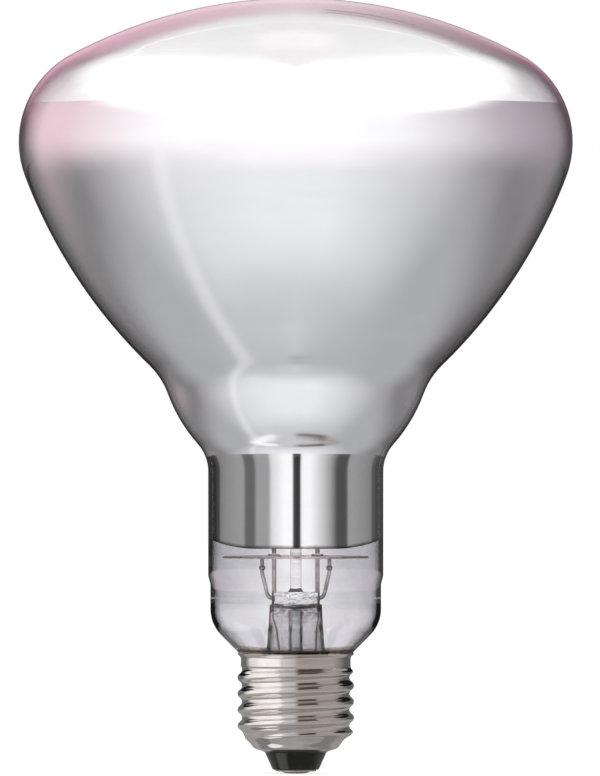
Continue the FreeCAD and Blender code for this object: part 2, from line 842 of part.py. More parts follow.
eyelets.Axis = (collar_sketch, ["N_Axis"])
eyelets.Angle = 360
eyelets.Occurrences = 2
heat_shield.Tip = eyelets


def shield_wire(name, side):
    """A wire from the press's edge up to the underside of the shield, with its weld."""
    reach = float(g.shield_wire_reach) / 2
    start_z = float(pinch_z) + float(g.press_height) / 2
    weld_z = float(shield_z) - float(g.weld_drop)
    grip = float(g.shield_wire_grip)
    wire_y = float(g.shield_wire_offset)
    points = [
        (float(press_width) / 2 - grip, start_z),
        (reach - grip, start_z),
        (reach, weld_z - float(g.weld_run)),
        (reach, float(shield_z)),
    ]
    path = rounded(points, [g.tight_bend, g.shield_wire_bend])
    body = wire_piece(name, path, g.shield_wire_dia, (0, wire_y), (side, wire_y))
    weld = body.newObject("PartDesign::AdditiveSphere", f"{name}_weld")
    weld.setExpression("Radius", (g.weld_dia / 2).text)
    weld.Placement = FreeCAD.Placement(FreeCAD.Vector(reach, 0, weld_z), FreeCAD.Rotation())
    return body


shield_wires = [shield_wire("shield_wire_left", -1), shield_wire("shield_wire_right", 1)]


# Pieces with holes where wires are sealed into them
def group(name, members):
    together = doc.addObject("Part::Compound", name)
    together.Links = members
    return together


def pierced(name, blank, tools):
    """A piece cut by the wires that pass through it."""
    piece = doc.addObject("Part::Cut", name)
    piece.Base = blank
    piece.Tool = tools
    piece.Label = name
    return piece


stem_tube = pierced("stem_tube", stem_blank, group("stem_wires", seal_wires + shield_wires))
arbor_rod = pierced("arbor_rod", arbor_blank, group("button_wires", support_wires))
cap_shell = pierced("cap_shell", shell_blank, outer_lead_side)

# Cement between the glass insert and the shell, open at the back for the side lead
root_inner_r = g.root_dia / 2 - g.sheet_thickness
cement_foot_z = insert_top_z - float(g.cement_height)
cement_blank = turned_piece(
    "cement_blank",
    [
        Vertex(insert_radius, cement_foot_z),
        Vertex(root_inner_r - g.cement_clearance, cement_foot_z),
        Vertex(root_inner_r - g.cement_clearance, insert_top_z),
        Vertex(insert_radius, insert_top_z),
    ],
)
lead_lane = doc.addObject("Part::Box", "lead_lane")
lead_lane.setExpression("Length", (g.outer_lead_dia * 1.5).text)
lead_lane.setExpression("Width", root_inner_r.text)
lead_lane.setExpression("Height", g.cement_height.text)
lead_lane.Placement = FreeCAD.Placement(
    FreeCAD.Vector(-0.75 * float(g.outer_lead_dia), 1, cement_foot_z), FreeCAD.Rotation()
)
cement_ring = pierced("cement_ring", cement_blank, lead_lane)

# Side solder: a blob over the hole that the side lead leaves by
way_out = unit(Point(*side_foot), Point(*lane))
exit_point = (side_foot[0] + exit_reach * way_out.r, side_foot[1] + exit_reach * way_out.z)
blob = doc.addObject("Part::Sphere", "solder_blob")
blob.setExpression("Radius", (g.blob_dia / 2).text)
blob.Placement = FreeCAD.Placement(FreeCAD.Vector(*exit_point, exit_z), FreeCAD.Rotation())
side_solder = pierced("side_solder", blob, shell_core)

pieces = [
    glass_bulb,
    mirror_film,
    cap_shell,
    cap_insulator,
    centre_contact,
    centre_solder,
    side_solder,
    cement_ring,
    stem_tube,
    exhaust_tube,
    arbor_rod,
    *inner_leads,
    *seal_wires,
    outer_lead_centre,
    outer_lead_side,
    heat_shield,
    *shield_wires,
    *support_wires,
    filament,
]

doc.recompute()


def check(item):
    """Stop on an object that failed or has no sound shape."""
    if {"Invalid", "Error"} & set(item.State):
        raise RuntimeError(f"{item.Name} failed: {item.State}")
    if not item.isDerivedFrom("PartDesign::Body"):
        return
    if item.Shape.isNull() or not item.Shape.isValid():
        raise RuntimeError(f"{item.Name} has no sound shape")


for item in doc.Objects:
    check(item)
if heat_shield.Shape.Volume <= plain_volume - math.pi * (float(g.eyelet_bore) / 2) ** 2:
    raise RuntimeError("the second eyelet is missing")
for piece in pieces:
    if piece.Shape.isNull() or not piece.Shape.isValid() or len(piece.Shape.Solids) != 1:
        raise RuntimeError(f"{piece.Label} isn't one sound solid")

os.makedirs("parts", exist_ok=True)
for piece in pieces:
    piece.Shape.exportStep(f"parts/{piece.Label}.step")
print("pieces", len(pieces), "height", round(apex_z, 2))
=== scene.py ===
import math
from collections import namedtuple

import bmesh
import bpy
from bpy.props import FloatProperty, FloatVectorProperty, IntProperty, PointerProperty
from mathutils import Matrix, Vector


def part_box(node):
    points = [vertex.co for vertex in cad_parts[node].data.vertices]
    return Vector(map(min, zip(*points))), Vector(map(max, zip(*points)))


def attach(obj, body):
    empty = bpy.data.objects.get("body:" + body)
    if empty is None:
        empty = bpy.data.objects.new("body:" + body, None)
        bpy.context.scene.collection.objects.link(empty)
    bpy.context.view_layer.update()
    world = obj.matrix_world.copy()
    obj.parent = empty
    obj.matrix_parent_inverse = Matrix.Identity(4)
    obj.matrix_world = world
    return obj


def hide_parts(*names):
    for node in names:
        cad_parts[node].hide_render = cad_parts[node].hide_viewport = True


bl_info = {
    "name": "Infrared heat lamp bulb",
    "version": (1, 0, 0),
    "blender": (4, 5, 0),
    "location": "View3D > Sidebar > Heat Lamp",
    "description": "Builds a reflector heat lamp bulb, its stem, wires and screw cap, and a plain studio",
    "category": "Add Mesh",
}

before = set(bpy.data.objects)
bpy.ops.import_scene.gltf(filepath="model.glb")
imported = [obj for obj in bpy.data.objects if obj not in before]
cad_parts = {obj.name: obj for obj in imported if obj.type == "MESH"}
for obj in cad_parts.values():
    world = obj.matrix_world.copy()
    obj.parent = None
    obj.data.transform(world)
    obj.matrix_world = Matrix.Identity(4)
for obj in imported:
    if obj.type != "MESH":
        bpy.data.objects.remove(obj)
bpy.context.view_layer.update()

Point = namedtuple("Point", "r z")
Vertex = namedtuple("Vertex", "r z side radius", defaults=(0, 0.0))

MM = 0.001
TINY = 1e-9
TURN = 2 * math.pi
BODY = "root"
FLARE_SLOPE = math.radians(45)
JOINT_SHARE = 0.76  # how far up the stem's hollow the leads are joined
GRIP = math.radians(3)  # from the filament's ends to the wires that hold them
THREAD_IN = (6.6 * MM, 9.6 * MM)  # heights between which the thread grows out of the shell
THREAD_OUT = (22.6 * MM, 24.6 * MM)  # and fades into it again
FILM_LIFT = 1.7 * MM  # how much higher the film ends at the sides of the neck
LIFT_SPAN = (math.radians(30), math.radians(78))  # where round the neck that rise lies
LIFT_WAVE, LIFT_WAVES = 0.12, 5  # share and number of the waves in it


# Property makers
def length(name, description, millimetres):
    return FloatProperty(
        name=name,
        description=description,
        default=millimetres * MM,
        subtype="DISTANCE",
        unit="LENGTH",
        precision=5,
    )


def angle(name, description, degrees):
    return FloatProperty(
        name=name, description=description, default=math.radians(degrees), subtype="ANGLE", unit="ROTATION"
    )


def strength(name, description, default):
    return FloatProperty(name=name, description=description, default=default, min=0.0)


def number(name, description, default, least, most):
    return IntProperty(name=name, description=description, default=default, min=least, max=most)


def colour(name, description, default):
    return FloatVectorProperty(
        name=name, description=description, default=default, size=3, min=0.0, max=1.0, subtype="COLOR"
    )


# Sizes
class HEATLAMP_PG_bulb(bpy.types.PropertyGroup):
    """Sizes of the blown glass and the mirror film"""

    width: length("Bulb width", "Widest diameter of the glass", 125.0)
    wall: length("Wall", "Thickness of the glass", 0.95)
    dome_height: length("Dome height", "From the widest ring to the top", 32.4)
    shoulder_radius: length("Shoulder radius", "Arc round the widest ring", 22.3)
    flank_height: length("Flank height", "From the waist to the widest ring", 53.3)
    flank_radius: length("Flank radius", "Long arc of the flank", 117.0)
    waist_width: length("Waist width", "Diameter at the waist's corner", 59.9)
    waist_fillet: length("Waist fillet", "Hollow arc at the waist", 17.0)
    bulge_height: length("Bulge height", "From the neck to the waist", 21.1)
    bulge_radius: length("Bulge radius", "Round arc under the waist", 35.0)
    neck_fillet: length("Neck fillet", "Hollow arc above the neck", 9.4)
    neck_width: length("Neck width", "Diameter of the mirrored neck", 39.5)
    neck_length: length("Neck length", "Length of the mirrored and clear neck", 23.5)
    necking_length: length("Necking length", "Step between the two necks", 1.9)
    lower_neck_width: length("Lower neck width", "Diameter of the clear neck's foot", 38.5)
    lower_neck_length: length("Lower neck length", "Straight part of the clear neck's foot", 5.6)
    lower_shoulder_radius: length("Lower shoulder", "Arc from the neck into the cone", 8.25)
    cone_angle: angle("Cone angle", "Slope of the cone from the axis", 44.5)
    insert_width: length("Insert width", "Diameter of the glass in the cap", 22.6)
    insert_fillet: length("Insert fillet", "Hollow arc above the insert", 2.0)
    insert_depth: length("Insert depth", "From the cap's rim to the glass's foot", 6.7)
    rim_clearance: length("Rim clearance", "Gap between the cone and the cap's rim", 0.12)
    film_thickness: length("Film thickness", "Thickness of the film's solid", 0.12)
    film_clearance: length("Film clearance", "Gap between glass and film", 0.1)
    film_rise: length("Film rise", "Film above the widest ring", 8.3)
    film_drop: length("Film drop", "Film below the top of the neck", 17.2)


class HEATLAMP_PG_cap(bpy.types.PropertyGroup):
    """Sizes of the screw cap and its insulator"""

    sheet: length("Sheet", "Thickness of the shell", 0.3)
    crest_width: length("Crest width", "Diameter over the thread's crests", 26.3)
    root_width: length("Root width", "Diameter in the thread's grooves", 24.26)
    pitch: length("Pitch", "Rise of the thread in one turn", 3.629)
    first_crest: length("First crest", "Height of the lowest crest on the right", 8.95)
    lip_width: length("Lip width", "Diameter of the shell's lower opening", 14.1)
    bevel_width: length("Bevel width", "Diameter where the bevel ends", 19.0)
    bevel_height: length("Bevel height", "Height of the bevel", 0.8)
    taper_height: length("Taper height", "From the bevel to the thread", 3.6)
    run_out: length("Run-out", "From the thread to the skirt", 0.5)
    skirt_width: length("Skirt width", "Diameter of the skirt", 24.8)
    skirt_height: length("Skirt height", "Height of the skirt", 1.9)
    flare_width: length("Flare width", "Flare at the rim", 0.8)
    insulator_width: length("Insulator width", "Diameter at the insulator's foot", 10.4)
    insulator_height: length("Insulator height", "From its foot to the lip", 4.05)
    contact_width: length("Contact width", "Diameter of the contact plate", 9.2)
    contact_thickness: length("Contact thickness", "Thickness of the contact plate", 0.35)
    drop_width: length("Drop width", "Diameter of the solder drop", 6.8)
    drop_flat: length("Drop flat", "Flat foot of the solder drop", 3.0)
    drop_height: length("Drop height", "Height of the solder drop", 0.5)
    blob_width: length("Blob width", "Diameter of the side solder", 1.9)
    turns: number("Thread turns", "Turns of the thread", 4, 1, 8)


class HEATLAMP_PG_stem(bpy.types.PropertyGroup):
    """Sizes of the glass stem, its rod and the exhaust tube"""

    top_width: length("Tube top width", "Diameter of the tube under the pinch", 12.2)
    foot_width: length("Tube foot width", "Diameter of the tube above its flare", 14.0)
    wall: length("Wall", "Thickness of the tube", 0.75)
    tube_height: length("Tube height", "Straight length of the tube", 9.7)
    flare_radius: length("Flare radius", "Arc of the flare", 3.3)
    pinch_height: length("Pinch height", "From the round tube to the press", 4.8)
    pinch_width: length("Pinch width", "Width at the top of the pinch", 11.8)
    pinch_depth: length("Pinch depth", "Depth at the top of the pinch", 5.2)
    pinch_floor: length("Pinch floor", "Glass above the hollow", 0.8)
    hollow_depth: length("Hollow depth", "Depth of the hollow at its top", 2.0)
    press_height: length("Press height", "Height of the flat press", 2.9)
    press_width: length("Press width", "Width of the flat press", 10.9)
    press_depth: length("Press depth", "Depth of the flat press", 4.4)
    exhaust_width: length("Exhaust width", "Diameter of the exhaust tube", 3.3)
    exhaust_bore: length("Exhaust bore", "Bore of the exhaust tube", 1.9)
    exhaust_length: length("Exhaust length", "From the lead joints to the sealed foot", 24.5)
    rod_width: length("Rod width", "Diameter of the glass rod", 2.6)
    rod_height: length("Rod height", "From the press to the button's middle", 35.8)
    button_width: length("Button width", "Diameter of the button", 5.6)
    button_height: length("Button height", "Height of the button", 4.0)
    button_round: length("Button round", "Rounding of the button", 1.3)


class HEATLAMP_PG_wires(bpy.types.PropertyGroup):
    """Sizes of the leads, the filament, its supports and the heat shield"""

    spacing: length("Lead spacing", "Distance between the two leads", 9.8)
    inner_width: length("Inner lead", "Diameter of the inner leads", 1.0)
    seal_width: length("Seal wire", "Diameter of the wires in the press", 0.8)
    outer_width: length("Outer lead", "Diameter of the outer leads", 0.44)
    bend: length("Bend", "Radius of a bend", 3.0)
    tight_bend: length("Tight bend", "Radius of a tight bend", 1.2)
    ring_width: length("Ring width", "Diameter of the filament's ring", 29.0)
    ring_gap: angle("Ring gap", "Gap of the filament's ring", 60.0)
    coil_width: length("Coil width", "Outer diameter of the coil", 2.0)
    coil_wire: length("Coil wire", "Diameter of the coiled wire", 0.26)
    coil_turns: number("Coil turns", "Turns of the filament's coil", 132, 10, 400)
    filament_rise: length("Filament rise", "From the press to the filament", 50.8)
    support_width: length("Support wire", "Diameter of the support wires", 0.6)
    supports: number("Supports", "Number of support wires", 5, 1, 12)
    shield_width: length("Shield width", "Diameter of the heat shield", 32.8)
    shield_thickness: length("Shield thickness", "Thickness of the heat shield", 0.4)
    shield_rise: length("Shield rise", "From the press to the heat shield", 7.6)
    eyelet_bore: length("Eyelet bore", "Bore of the shield's eyelets", 1.9)
    eyelet_rim: length("Eyelet rim", "Wall of the shield's eyelets", 0.35)
    eyelet_height: length("Eyelet height", "Height of the shield's eyelets", 0.6)
    rod_gap: length("Rod gap", "Gap round the glass rod", 0.3)
    holder_width: length("Holder wire", "Diameter of the wires that carry the shield", 0.9)
    holder_spread: length("Holder spread", "Distance between the two holder wires", 15.2)
    holder_shift: length("Holder shift", "How far the holder wires stand behind the leads", 1.1)
    weld_width: length("Weld width", "Diameter of the weld knots", 1.5)


class HEATLAMP_PG_finish(bpy.types.PropertyGroup):
    """Colours of the materials"""

    clear: colour("Clear glass", "Tint of the blown glass", (0.995, 0.99, 0.993))
    blush: colour("Glass blush", "Tint of the blown glass seen edge on", (0.93, 0.80, 0.85))
    # Painted shade: the clear glass below the film's edge is tinted darker, most where it is seen edge on.
    veil: colour("Veil", "Tint of the haze under the film's edge", (0.585, 0.58, 0.62))
    # Partly the brown cement and partly painted shade of the gap between the cap's rim and the glass.
    stain: colour("Rim stain", "Tint of the glass at the cap's rim", (0.15, 0.11, 0.06))
    stem: colour("Stem glass", "Tint of the stem's glass", (0.93, 0.93, 0.94))
    press: colour("Press marks", "Tint of the marks in the pressed glass", (0.30, 0.30, 0.32))
    film: colour("Mirror film", "Colour of the aluminium film", (0.90, 0.90, 0.91))
    film_edge: colour("Film edge", "Colour of the film where it fades out", (0.28, 0.24, 0.21))
    nickel: colour("Nickel", "Colour of the plated shell", (0.82, 0.785, 0.77))
    insulator: colour("Insulator", "Colour of the black glass", (0.005, 0.006, 0.004))
    brass: colour("Contact", "Colour of the contact plate", (0.80, 0.77, 0.70))
    solder: colour("Solder", "Colour of the tin solder", (0.56, 0.56, 0.57))
    cement: colour("Cement", "Colour of the baked cement", (0.40, 0.29, 0.19))
    wire: colour("Nickel wire", "Colour of the inner leads and holder wires", (0.62, 0.59, 0.57))
    copper: colour("Copper", "Colour of the outer leads and seal wires", (0.24, 0.13, 0.09))
    shield: colour("Shield", "Colour of the heat shield", (0.80, 0.66, 0.68))
    molybdenum: colour("Molybdenum", "Colour of the support wires", (0.45, 0.45, 0.46))
    tungsten: colour("Tungsten", "Colour of the filament", (0.24, 0.24, 0.25))


class HEATLAMP_PG_studio(bpy.types.PropertyGroup):
    """Settings of the camera and the studio"""

    distance: length("Camera distance", "From the axis", 3000.0)
    view_height: length("View height", "Height that the picture shows", 175.07)
    eye_height: length("Eye height", "Height of the camera", 86.97)
    eye_shift: length("Eye shift", "Camera to the right of the axis", 0.96)
    gain: strength("Reflection gain", "Strength of what bright faces show", 1.25)
    daylight: strength("Daylight", "Strength of the world on matt faces", 0.75)
    key_power: strength("Key power", "Power of each front lamp", 9.0)
    top_power: strength("Top power", "Power of the top lamp", 6.0)


# Outlines of arcs and lines
def unit(start, end):
    """The direction from one point to another."""
    run = math.hypot(end.r - start.r, end.z - start.z)
    return Point((end.r - start.r) / run, (end.z - start.z) / run)


def towards(start, through, distance):
    """The point at a distance from start on the line through another point."""
    way = unit(start, through)
    return Point(start.r + way.r * distance, start.z + way.z * distance)


def meet(centre_a, radius_a, centre_b, radius_b, side):
    """Where two circles cross, on the left (1) or right (-1) of the line from a to b."""
    way = unit(centre_a, centre_b)
    gap = math.hypot(centre_b.r - centre_a.r, centre_b.z - centre_a.z)
    along = (gap**2 + radius_a**2 - radius_b**2) / (2 * gap)
    aside = side * math.sqrt(radius_a**2 - along**2)
    return Point(centre_a.r + along * way.r - aside * way.z, centre_a.z + along * way.z + aside * way.r)


def arc_centre(start, end):
    """The centre of the arc that leaves start for end."""
    way = unit(start, end)
    half = math.hypot(end.r - start.r, end.z - start.z) / 2
    rise = math.sqrt(max(start.radius**2 - half**2, 0)) * start.side
    return Point((start.r + end.r) / 2 - way.z * rise, (start.z + end.z) / 2 + way.r * rise)


def heading(start, end, at):
    """The direction of travel on an edge at one of its two ends."""
    if not start.side:
        return unit(start, end)
    outward = unit(arc_centre(start, end), at)
    return Point(-outward.z * start.side, outward.r * start.side)


def offset(path, distance):
    """The outline moved to the right of its way by a distance, with mitred corners."""
    moved = []
    for i, vertex in enumerate(path):
        ways = []
        if i > 0:
            ways.append(heading(path[i - 1], vertex, vertex))
        if i < len(path) - 1:
            ways.append(heading(vertex, path[i + 1], vertex))
        rights = [Point(way.z, -way.r) for way in ways]
        first, last = rights[0], rights[-1]
        part = distance / (1 + first.r * last.r + first.z * last.z)
        moved.append(
            Vertex(
                vertex.r + part * (first.r + last.r),
                vertex.z + part * (first.z + last.z),
                vertex.side,
                vertex.radius + distance * vertex.side,
            )
        )
    return moved


def rounded(points, radii):
    """A way of straight runs with an arc at each inner point."""
    path = [Vertex(*points[0])]
    for before, corner, after, radius in zip(points, points[1:], points[2:], radii):
        way_in = unit(Point(*before), Point(*corner))
        way_out = unit(Point(*corner), Point(*after))
        cross = way_in.r * way_out.z - way_in.z * way_out.r
        turn = math.atan2(abs(cross), way_in.r * way_out.r + way_in.z * way_out.z)
        cut = radius * math.tan(turn / 2)
        side = 1 if cross > 0 else -1
        path.append(Vertex(corner[0] - cut * way_in.r, corner[1] - cut * way_in.z, side, radius))
        path.append(Vertex(corner[0] + cut * way_out.r, corner[1] + cut * way_out.z))
    return path + [Vertex(*points[-1])]


def trace(path, step, bend=math.radians(5)):
    """Points along an outline, no further apart than a step or a bend."""
    points = []
    for start, end in zip(path, path[1:]):
        run = math.hypot(end.r - start.r, end.z - start.z)
        if run < TINY:
            continue
        if not start.side:
            count = max(1, math.ceil(run / step))
            across, up = end.r - start.r, end.z - start.z
            points += [(start.r + across * i / count, start.z + up * i / count) for i in range(count)]
            continue
        centre = arc_centre(start, end)
        sweep = 2 * math.asin(min(1, run / 2 / start.radius)) * start.side
        count = max(2, math.ceil(abs(sweep) / bend), math.ceil(abs(sweep) * start.radius / step))
        first = math.atan2(start.z - centre.z, start.r - centre.r)
        for i in range(count):
            at = first + sweep * i / count
            points.append((centre.r + start.radius * math.cos(at), centre.z + start.radius * math.sin(at)))
    return points + [(path[-1].r, path[-1].z)]


# Heights, each stacked on the one below
class Levels:
    """The heights and radii that several pieces share, worked out from the sizes."""

    def __init__(self, scene):
        bulb, cap, stem, wires = scene.lamp_bulb, scene.lamp_cap, scene.lamp_stem, scene.lamp_wires
        self.contact = cap.drop_height
        self.insulator = self.contact + cap.contact_thickness
        self.lip = self.insulator + cap.insulator_height
        self.flange = self.lip + 3.1 * MM
        self.bevel = self.lip + cap.bevel_height
        self.thread = self.bevel + cap.taper_height
        self.thread_end = self.thread + cap.pitch * cap.turns
        self.skirt = self.thread_end + cap.run_out
        self.flare = self.skirt + cap.skirt_height
        self.rim = self.flare + cap.flare_width
        cone = bulb.cone_angle
        seat_r = cap.skirt_width / 2 + cap.flare_width - cap.sheet * math.cos(FLARE_SLOPE)
        self.seat = Point(seat_r - bulb.rim_clearance, self.rim + cap.sheet * math.sin(FLARE_SLOPE))
        self.cone = lambda radius: self.seat.z + (radius - self.seat.r) / math.tan(cone)
        self.insert_cut = bulb.insert_fillet * math.tan(cone / 2)
        self.insert_top = self.cone(bulb.insert_width / 2) - self.insert_cut
        self.seal = self.rim - bulb.insert_depth
        self.shoulder_cut = bulb.lower_shoulder_radius * math.tan(cone / 2)
        self.neck_base = self.cone(bulb.lower_neck_width / 2) + self.shoulder_cut
        self.necking = self.neck_base + bulb.lower_neck_length
        self.upper_neck = self.necking + bulb.necking_length
        self.neck_top = self.upper_neck + bulb.neck_length
        self.film_foot = self.neck_top - bulb.film_drop
        self.waist = self.neck_top + bulb.bulge_height
        self.equator = self.waist + bulb.flank_height
        self.apex = self.equator + bulb.dome_height
        self.tube_top = self.seal + stem.flare_radius + stem.tube_height
        self.pinch = self.tube_top + stem.pinch_height
        self.press = self.pinch + stem.press_height
        self.hollow = self.pinch - stem.pinch_floor
        self.joint = self.tube_top + JOINT_SHARE * (self.hollow - self.tube_top)
        self.ring = self.press + wires.filament_rise
        self.shield = self.press + wires.shield_rise
        self.exhaust_foot = self.joint - stem.exhaust_length


def glass_outline(bulb, levels):
    """The outside of the glass, from the top of the dome down into the cap."""
    shoulder, flank, waist = bulb.shoulder_radius, bulb.flank_radius, bulb.waist_fillet
    bulge, neck, cone = bulb.bulge_radius, bulb.neck_fillet, bulb.cone_angle
    neck_r, lower_r, insert_r = bulb.neck_width / 2, bulb.lower_neck_width / 2, bulb.insert_width / 2
    shoulder_centre = Point(bulb.width / 2 - shoulder, levels.equator)
    crown = bulb.dome_height - shoulder
    drop = (shoulder_centre.r**2 - crown**2) / (2 * crown)
    dome_centre = Point(0, levels.equator - drop)
    dome = bulb.dome_height + drop
    corner = Point(bulb.waist_width / 2, levels.waist)
    flank_centre = meet(shoulder_centre, flank - shoulder, corner, flank, -1)
    neck_centre = Point(neck_r + neck, levels.neck_top)
    bulge_centre = meet(corner, bulge, neck_centre, bulge + neck, -1)
    waist_centre = meet(flank_centre, flank + waist, bulge_centre, bulge + waist, 1)
    sine, cosine = math.sin(cone), math.cos(cone)
    return [
        Vertex(0, levels.apex, -1, dome),
        Vertex(*towards(dome_centre, shoulder_centre, dome), -1, shoulder),
        Vertex(*towards(flank_centre, shoulder_centre, flank), -1, flank),
        Vertex(*towards(flank_centre, waist_centre, flank), 1, waist),
        Vertex(*towards(bulge_centre, waist_centre, bulge), -1, bulge),
        Vertex(*towards(bulge_centre, neck_centre, bulge), 1, neck),
        Vertex(neck_r, levels.neck_top),
        Vertex(neck_r, levels.upper_neck),
        Vertex(lower_r, levels.necking),
        Vertex(lower_r, levels.neck_base, -1, bulb.lower_shoulder_radius),
        Vertex(lower_r - levels.shoulder_cut * sine, levels.cone(lower_r) - levels.shoulder_cut * cosine),
        Vertex(
            insert_r + levels.insert_cut * sine,
            levels.cone(insert_r) + levels.insert_cut * cosine,
            1,
            bulb.insert_fillet,
        ),
        Vertex(insert_r, levels.insert_top),
        Vertex(insert_r, levels.seal),
    ]


def film_outline(bulb, levels, glass_inner):
    """The face of the film that lies next to the glass."""
    shoulder = bulb.shoulder_radius - bulb.wall
    start_r = bulb.width / 2 - bulb.shoulder_radius + math.sqrt(shoulder**2 - bulb.film_rise**2)
    start = Vertex(start_r, levels.equator + bulb.film_rise, -1, shoulder)
    return [start] + glass_inner[2:7] + [Vertex(glass_inner[6].r, levels.film_foot)]


# Meshes
def ring_points(radius, height, segments, bump=None):
    """The points of one ring about the axis, or a single point on it."""
    if radius < TINY:
        return [Vector((0, 0, height))]
    points = []
    for i in range(segments):
        at = TURN * i / segments
        reach = radius + (bump(at, height) if bump else 0)
        points.append(Vector((reach * math.cos(at), reach * math.sin(at), height)))
    return points


def skin(bm, rings, loop=False, ends=False):
    """Faces between rings of points, closed round each ring, with one-point rings as tips."""
    made = [[bm.verts.new(point) for point in ring] for ring in rings]
    pairs = list(zip(made, made[1:]))
    if loop:
        pairs.append((made[-1], made[0]))
    for low, high in pairs:
        count = max(len(low), len(high))
        for i in range(count):
            j = (i + 1) % count
            if len(low) == 1:
                bm.faces.new((low[0], high[j], high[i]))
            elif len(high) == 1:
                bm.faces.new((low[i], low[j], high[0]))
            else:
                bm.faces.new((low[i], low[j], high[j], high[i]))
    if ends:
        bm.faces.new(made[0])
        bm.faces.new(made[-1])


def add_object(name, bm, material):
    """Put a bmesh into the scene as an object with one material."""
    mesh = bpy.data.meshes.new(name)
    bm.to_mesh(mesh)
    bm.free()
    mesh.materials.append(material)
    made = bpy.data.objects.new(name, mesh)
    bpy.context.scene.collection.objects.link(made)
    return made


def finish_piece(name, bm, material, nodes, crease=40):
    """Turn a bmesh into a smooth piece that rides on the lamp and stands for CAD nodes."""
    bmesh.ops.recalc_face_normals(bm, faces=bm.faces)
    piece = add_object(name, bm, material)
    piece.data.shade_smooth()
    piece.data.set_sharp_from_angle(angle=math.radians(crease))
    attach(piece, BODY)
    if nodes:
        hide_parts(*nodes)
    return piece


def turned(bm, profile, segments):
    """A solid of revolution from a closed profile that may start and end on the axis."""
    on_axis = profile[0][0] < TINY and profile[-1][0] < TINY
    rings = [ring_points(r, z, segments) for r, z in profile]
    skin(bm, rings, loop=not on_axis)


def wire_rings(points, radius, sides):
    """Rings round a line of points, turned as little as can be from one to the next."""
    points = [p for i, p in enumerate(points) if i == 0 or (p - points[i - 1]).length > TINY * 100]
    ways = [(b - a).normalized() for a, b in zip(points, points[1:])]
    tangents = [ways[0]] + [(a + b).normalized() for a, b in zip(ways, ways[1:])] + [ways[-1]]
    side = tangents[0].orthogonal().normalized()
    turns = [TURN * i / sides for i in range(sides)]
    rings = []
    for point, tangent in zip(points, tangents):
        side = (side - tangent * side.dot(tangent)).normalized()
        other = tangent.cross(side)
        rings.append([point + (side * math.cos(at) + other * math.sin(at)) * radius for at in turns])
    return rings


def sweep(bm, points, radius, sides=14):
    """A round wire along a line of points."""
    skin(bm, wire_rings(points, radius, sides), ends=True)


def upright(path, foot, toward, step=0.35 * MM):
    """The points of a wire bent in the upright plane from its foot toward another point of the plan."""
    at = math.atan2(toward[1] - foot[1], toward[0] - foot[0])
    way = Vector((math.cos(at), math.sin(at), 0))
    return [Vector((foot[0], foot[1], z)) + way * r for r, z in trace(path, step, math.radians(8))]


def ball(bm, centre, radius, squash=1.0, segments=24):
    """A round knot, squashed along the axis."""
    bands = segments // 2
    rings = []
    for i in range(bands + 1):
        at = math.pi * i / bands
        ring = ring_points(radius * math.sin(at), -radius * squash * math.cos(at), segments)
        rings.append([centre + point for point in ring])
    skin(bm, rings)


# Shader nodes
def new_node(tree, kind, place=(0, 0), **settings):
    node = tree.nodes.new(kind)
    node.location = place
    for key, value in settings.items():
        setattr(node, key, value)
    return node


def fill(node, **values):
    """Set a node's inputs by name, with spaces written as underscores."""
    for key, value in values.items():
        node.inputs[key.replace("_", " ")].default_value = value
    return node


def maths(tree, operation, first, second=None, third=None):
    """A Math node whose inputs are sockets or numbers."""
    node = new_node(tree, "ShaderNodeMath", operation=operation)
    for i, value in enumerate((first, second, third)):
        if value is None:
            continue
        if isinstance(value, (int, float)):
            node.inputs[i].default_value = value
        else:
            tree.links.new(value, node.inputs[i])
    return node.outputs[0]


def times(tree, first, *others):
    """The product of two or more values."""
    for value in others:
        first = maths(tree, "MULTIPLY", first, value)
    return first


def between(tree, value, low, high, to_low=0.0, to_high=1.0, smooth=True):
    """A value mapped from one range to another and held inside it."""
    node = new_node(tree, "ShaderNodeMapRange", interpolation_type="SMOOTHSTEP" if smooth else "LINEAR")
    fill(node, From_Min=low, From_Max=high, To_Min=to_low, To_Max=to_high)
    tree.links.new(value, node.inputs["Value"])
    return node.outputs["Result"]


def band(tree, value, middle, half):
    """One inside a band of values and zero outside it, with soft edges."""
    gap = maths(tree, "ABSOLUTE", maths(tree, "SUBTRACT", value, middle))
    return between(tree, gap, half, 0.8 * half)


def bounced(tree, depth):
    """One for a ray that has been turned at least once, and zero before."""
    return between(tree, depth, 0.4, 0.6, smooth=False)


def blend(tree, factor, first, second, kind="MIX"):
    """A colour mix whose inputs are sockets or colours."""
    node = new_node(tree, "ShaderNodeMix", data_type="RGBA", blend_type=kind)
    for socket, value in ((node.inputs[0], factor), (node.inputs[6], first), (node.inputs[7], second)):
        if isinstance(value, (int, float)):
            socket.default_value = value
        elif isinstance(value, bpy.types.NodeSocket):
            tree.links.new(value, socket)
        else:
            socket.default_value = (*value, 1.0) if len(value) == 3 else value
    return node.outputs[2]


def noise(tree, vector, scale, detail=3.0, roughness=0.55, distortion=0.0):
    node = new_node(tree, "ShaderNodeTexNoise")
    fill(node, Scale=scale, Detail=detail, Roughness=roughness, Distortion=distortion)
    tree.links.new(vector, node.inputs["Vector"])
    return node.outputs["Fac"]


def stretched(tree, vector, scale):
    """Coordinates scaled by a different number along each axis."""
    node = new_node(tree, "ShaderNodeMapping")
    node.inputs["Scale"].default_value = scale
    tree.links.new(vector, node.inputs["Vector"])
    return node.outputs["Vector"]


def object_place(tree):
    return new_node(tree, "ShaderNodeTexCoord").outputs["Object"]


def axes(tree, vector):
    """The x, y and z of a vector."""
    split = new_node(tree, "ShaderNodeSeparateXYZ")
    tree.links.new(vector, split.inputs[0])
    return split.outputs


def toned(tone, share):
    """A colour made darker or lighter."""
    return tuple(share * channel for channel in tone)


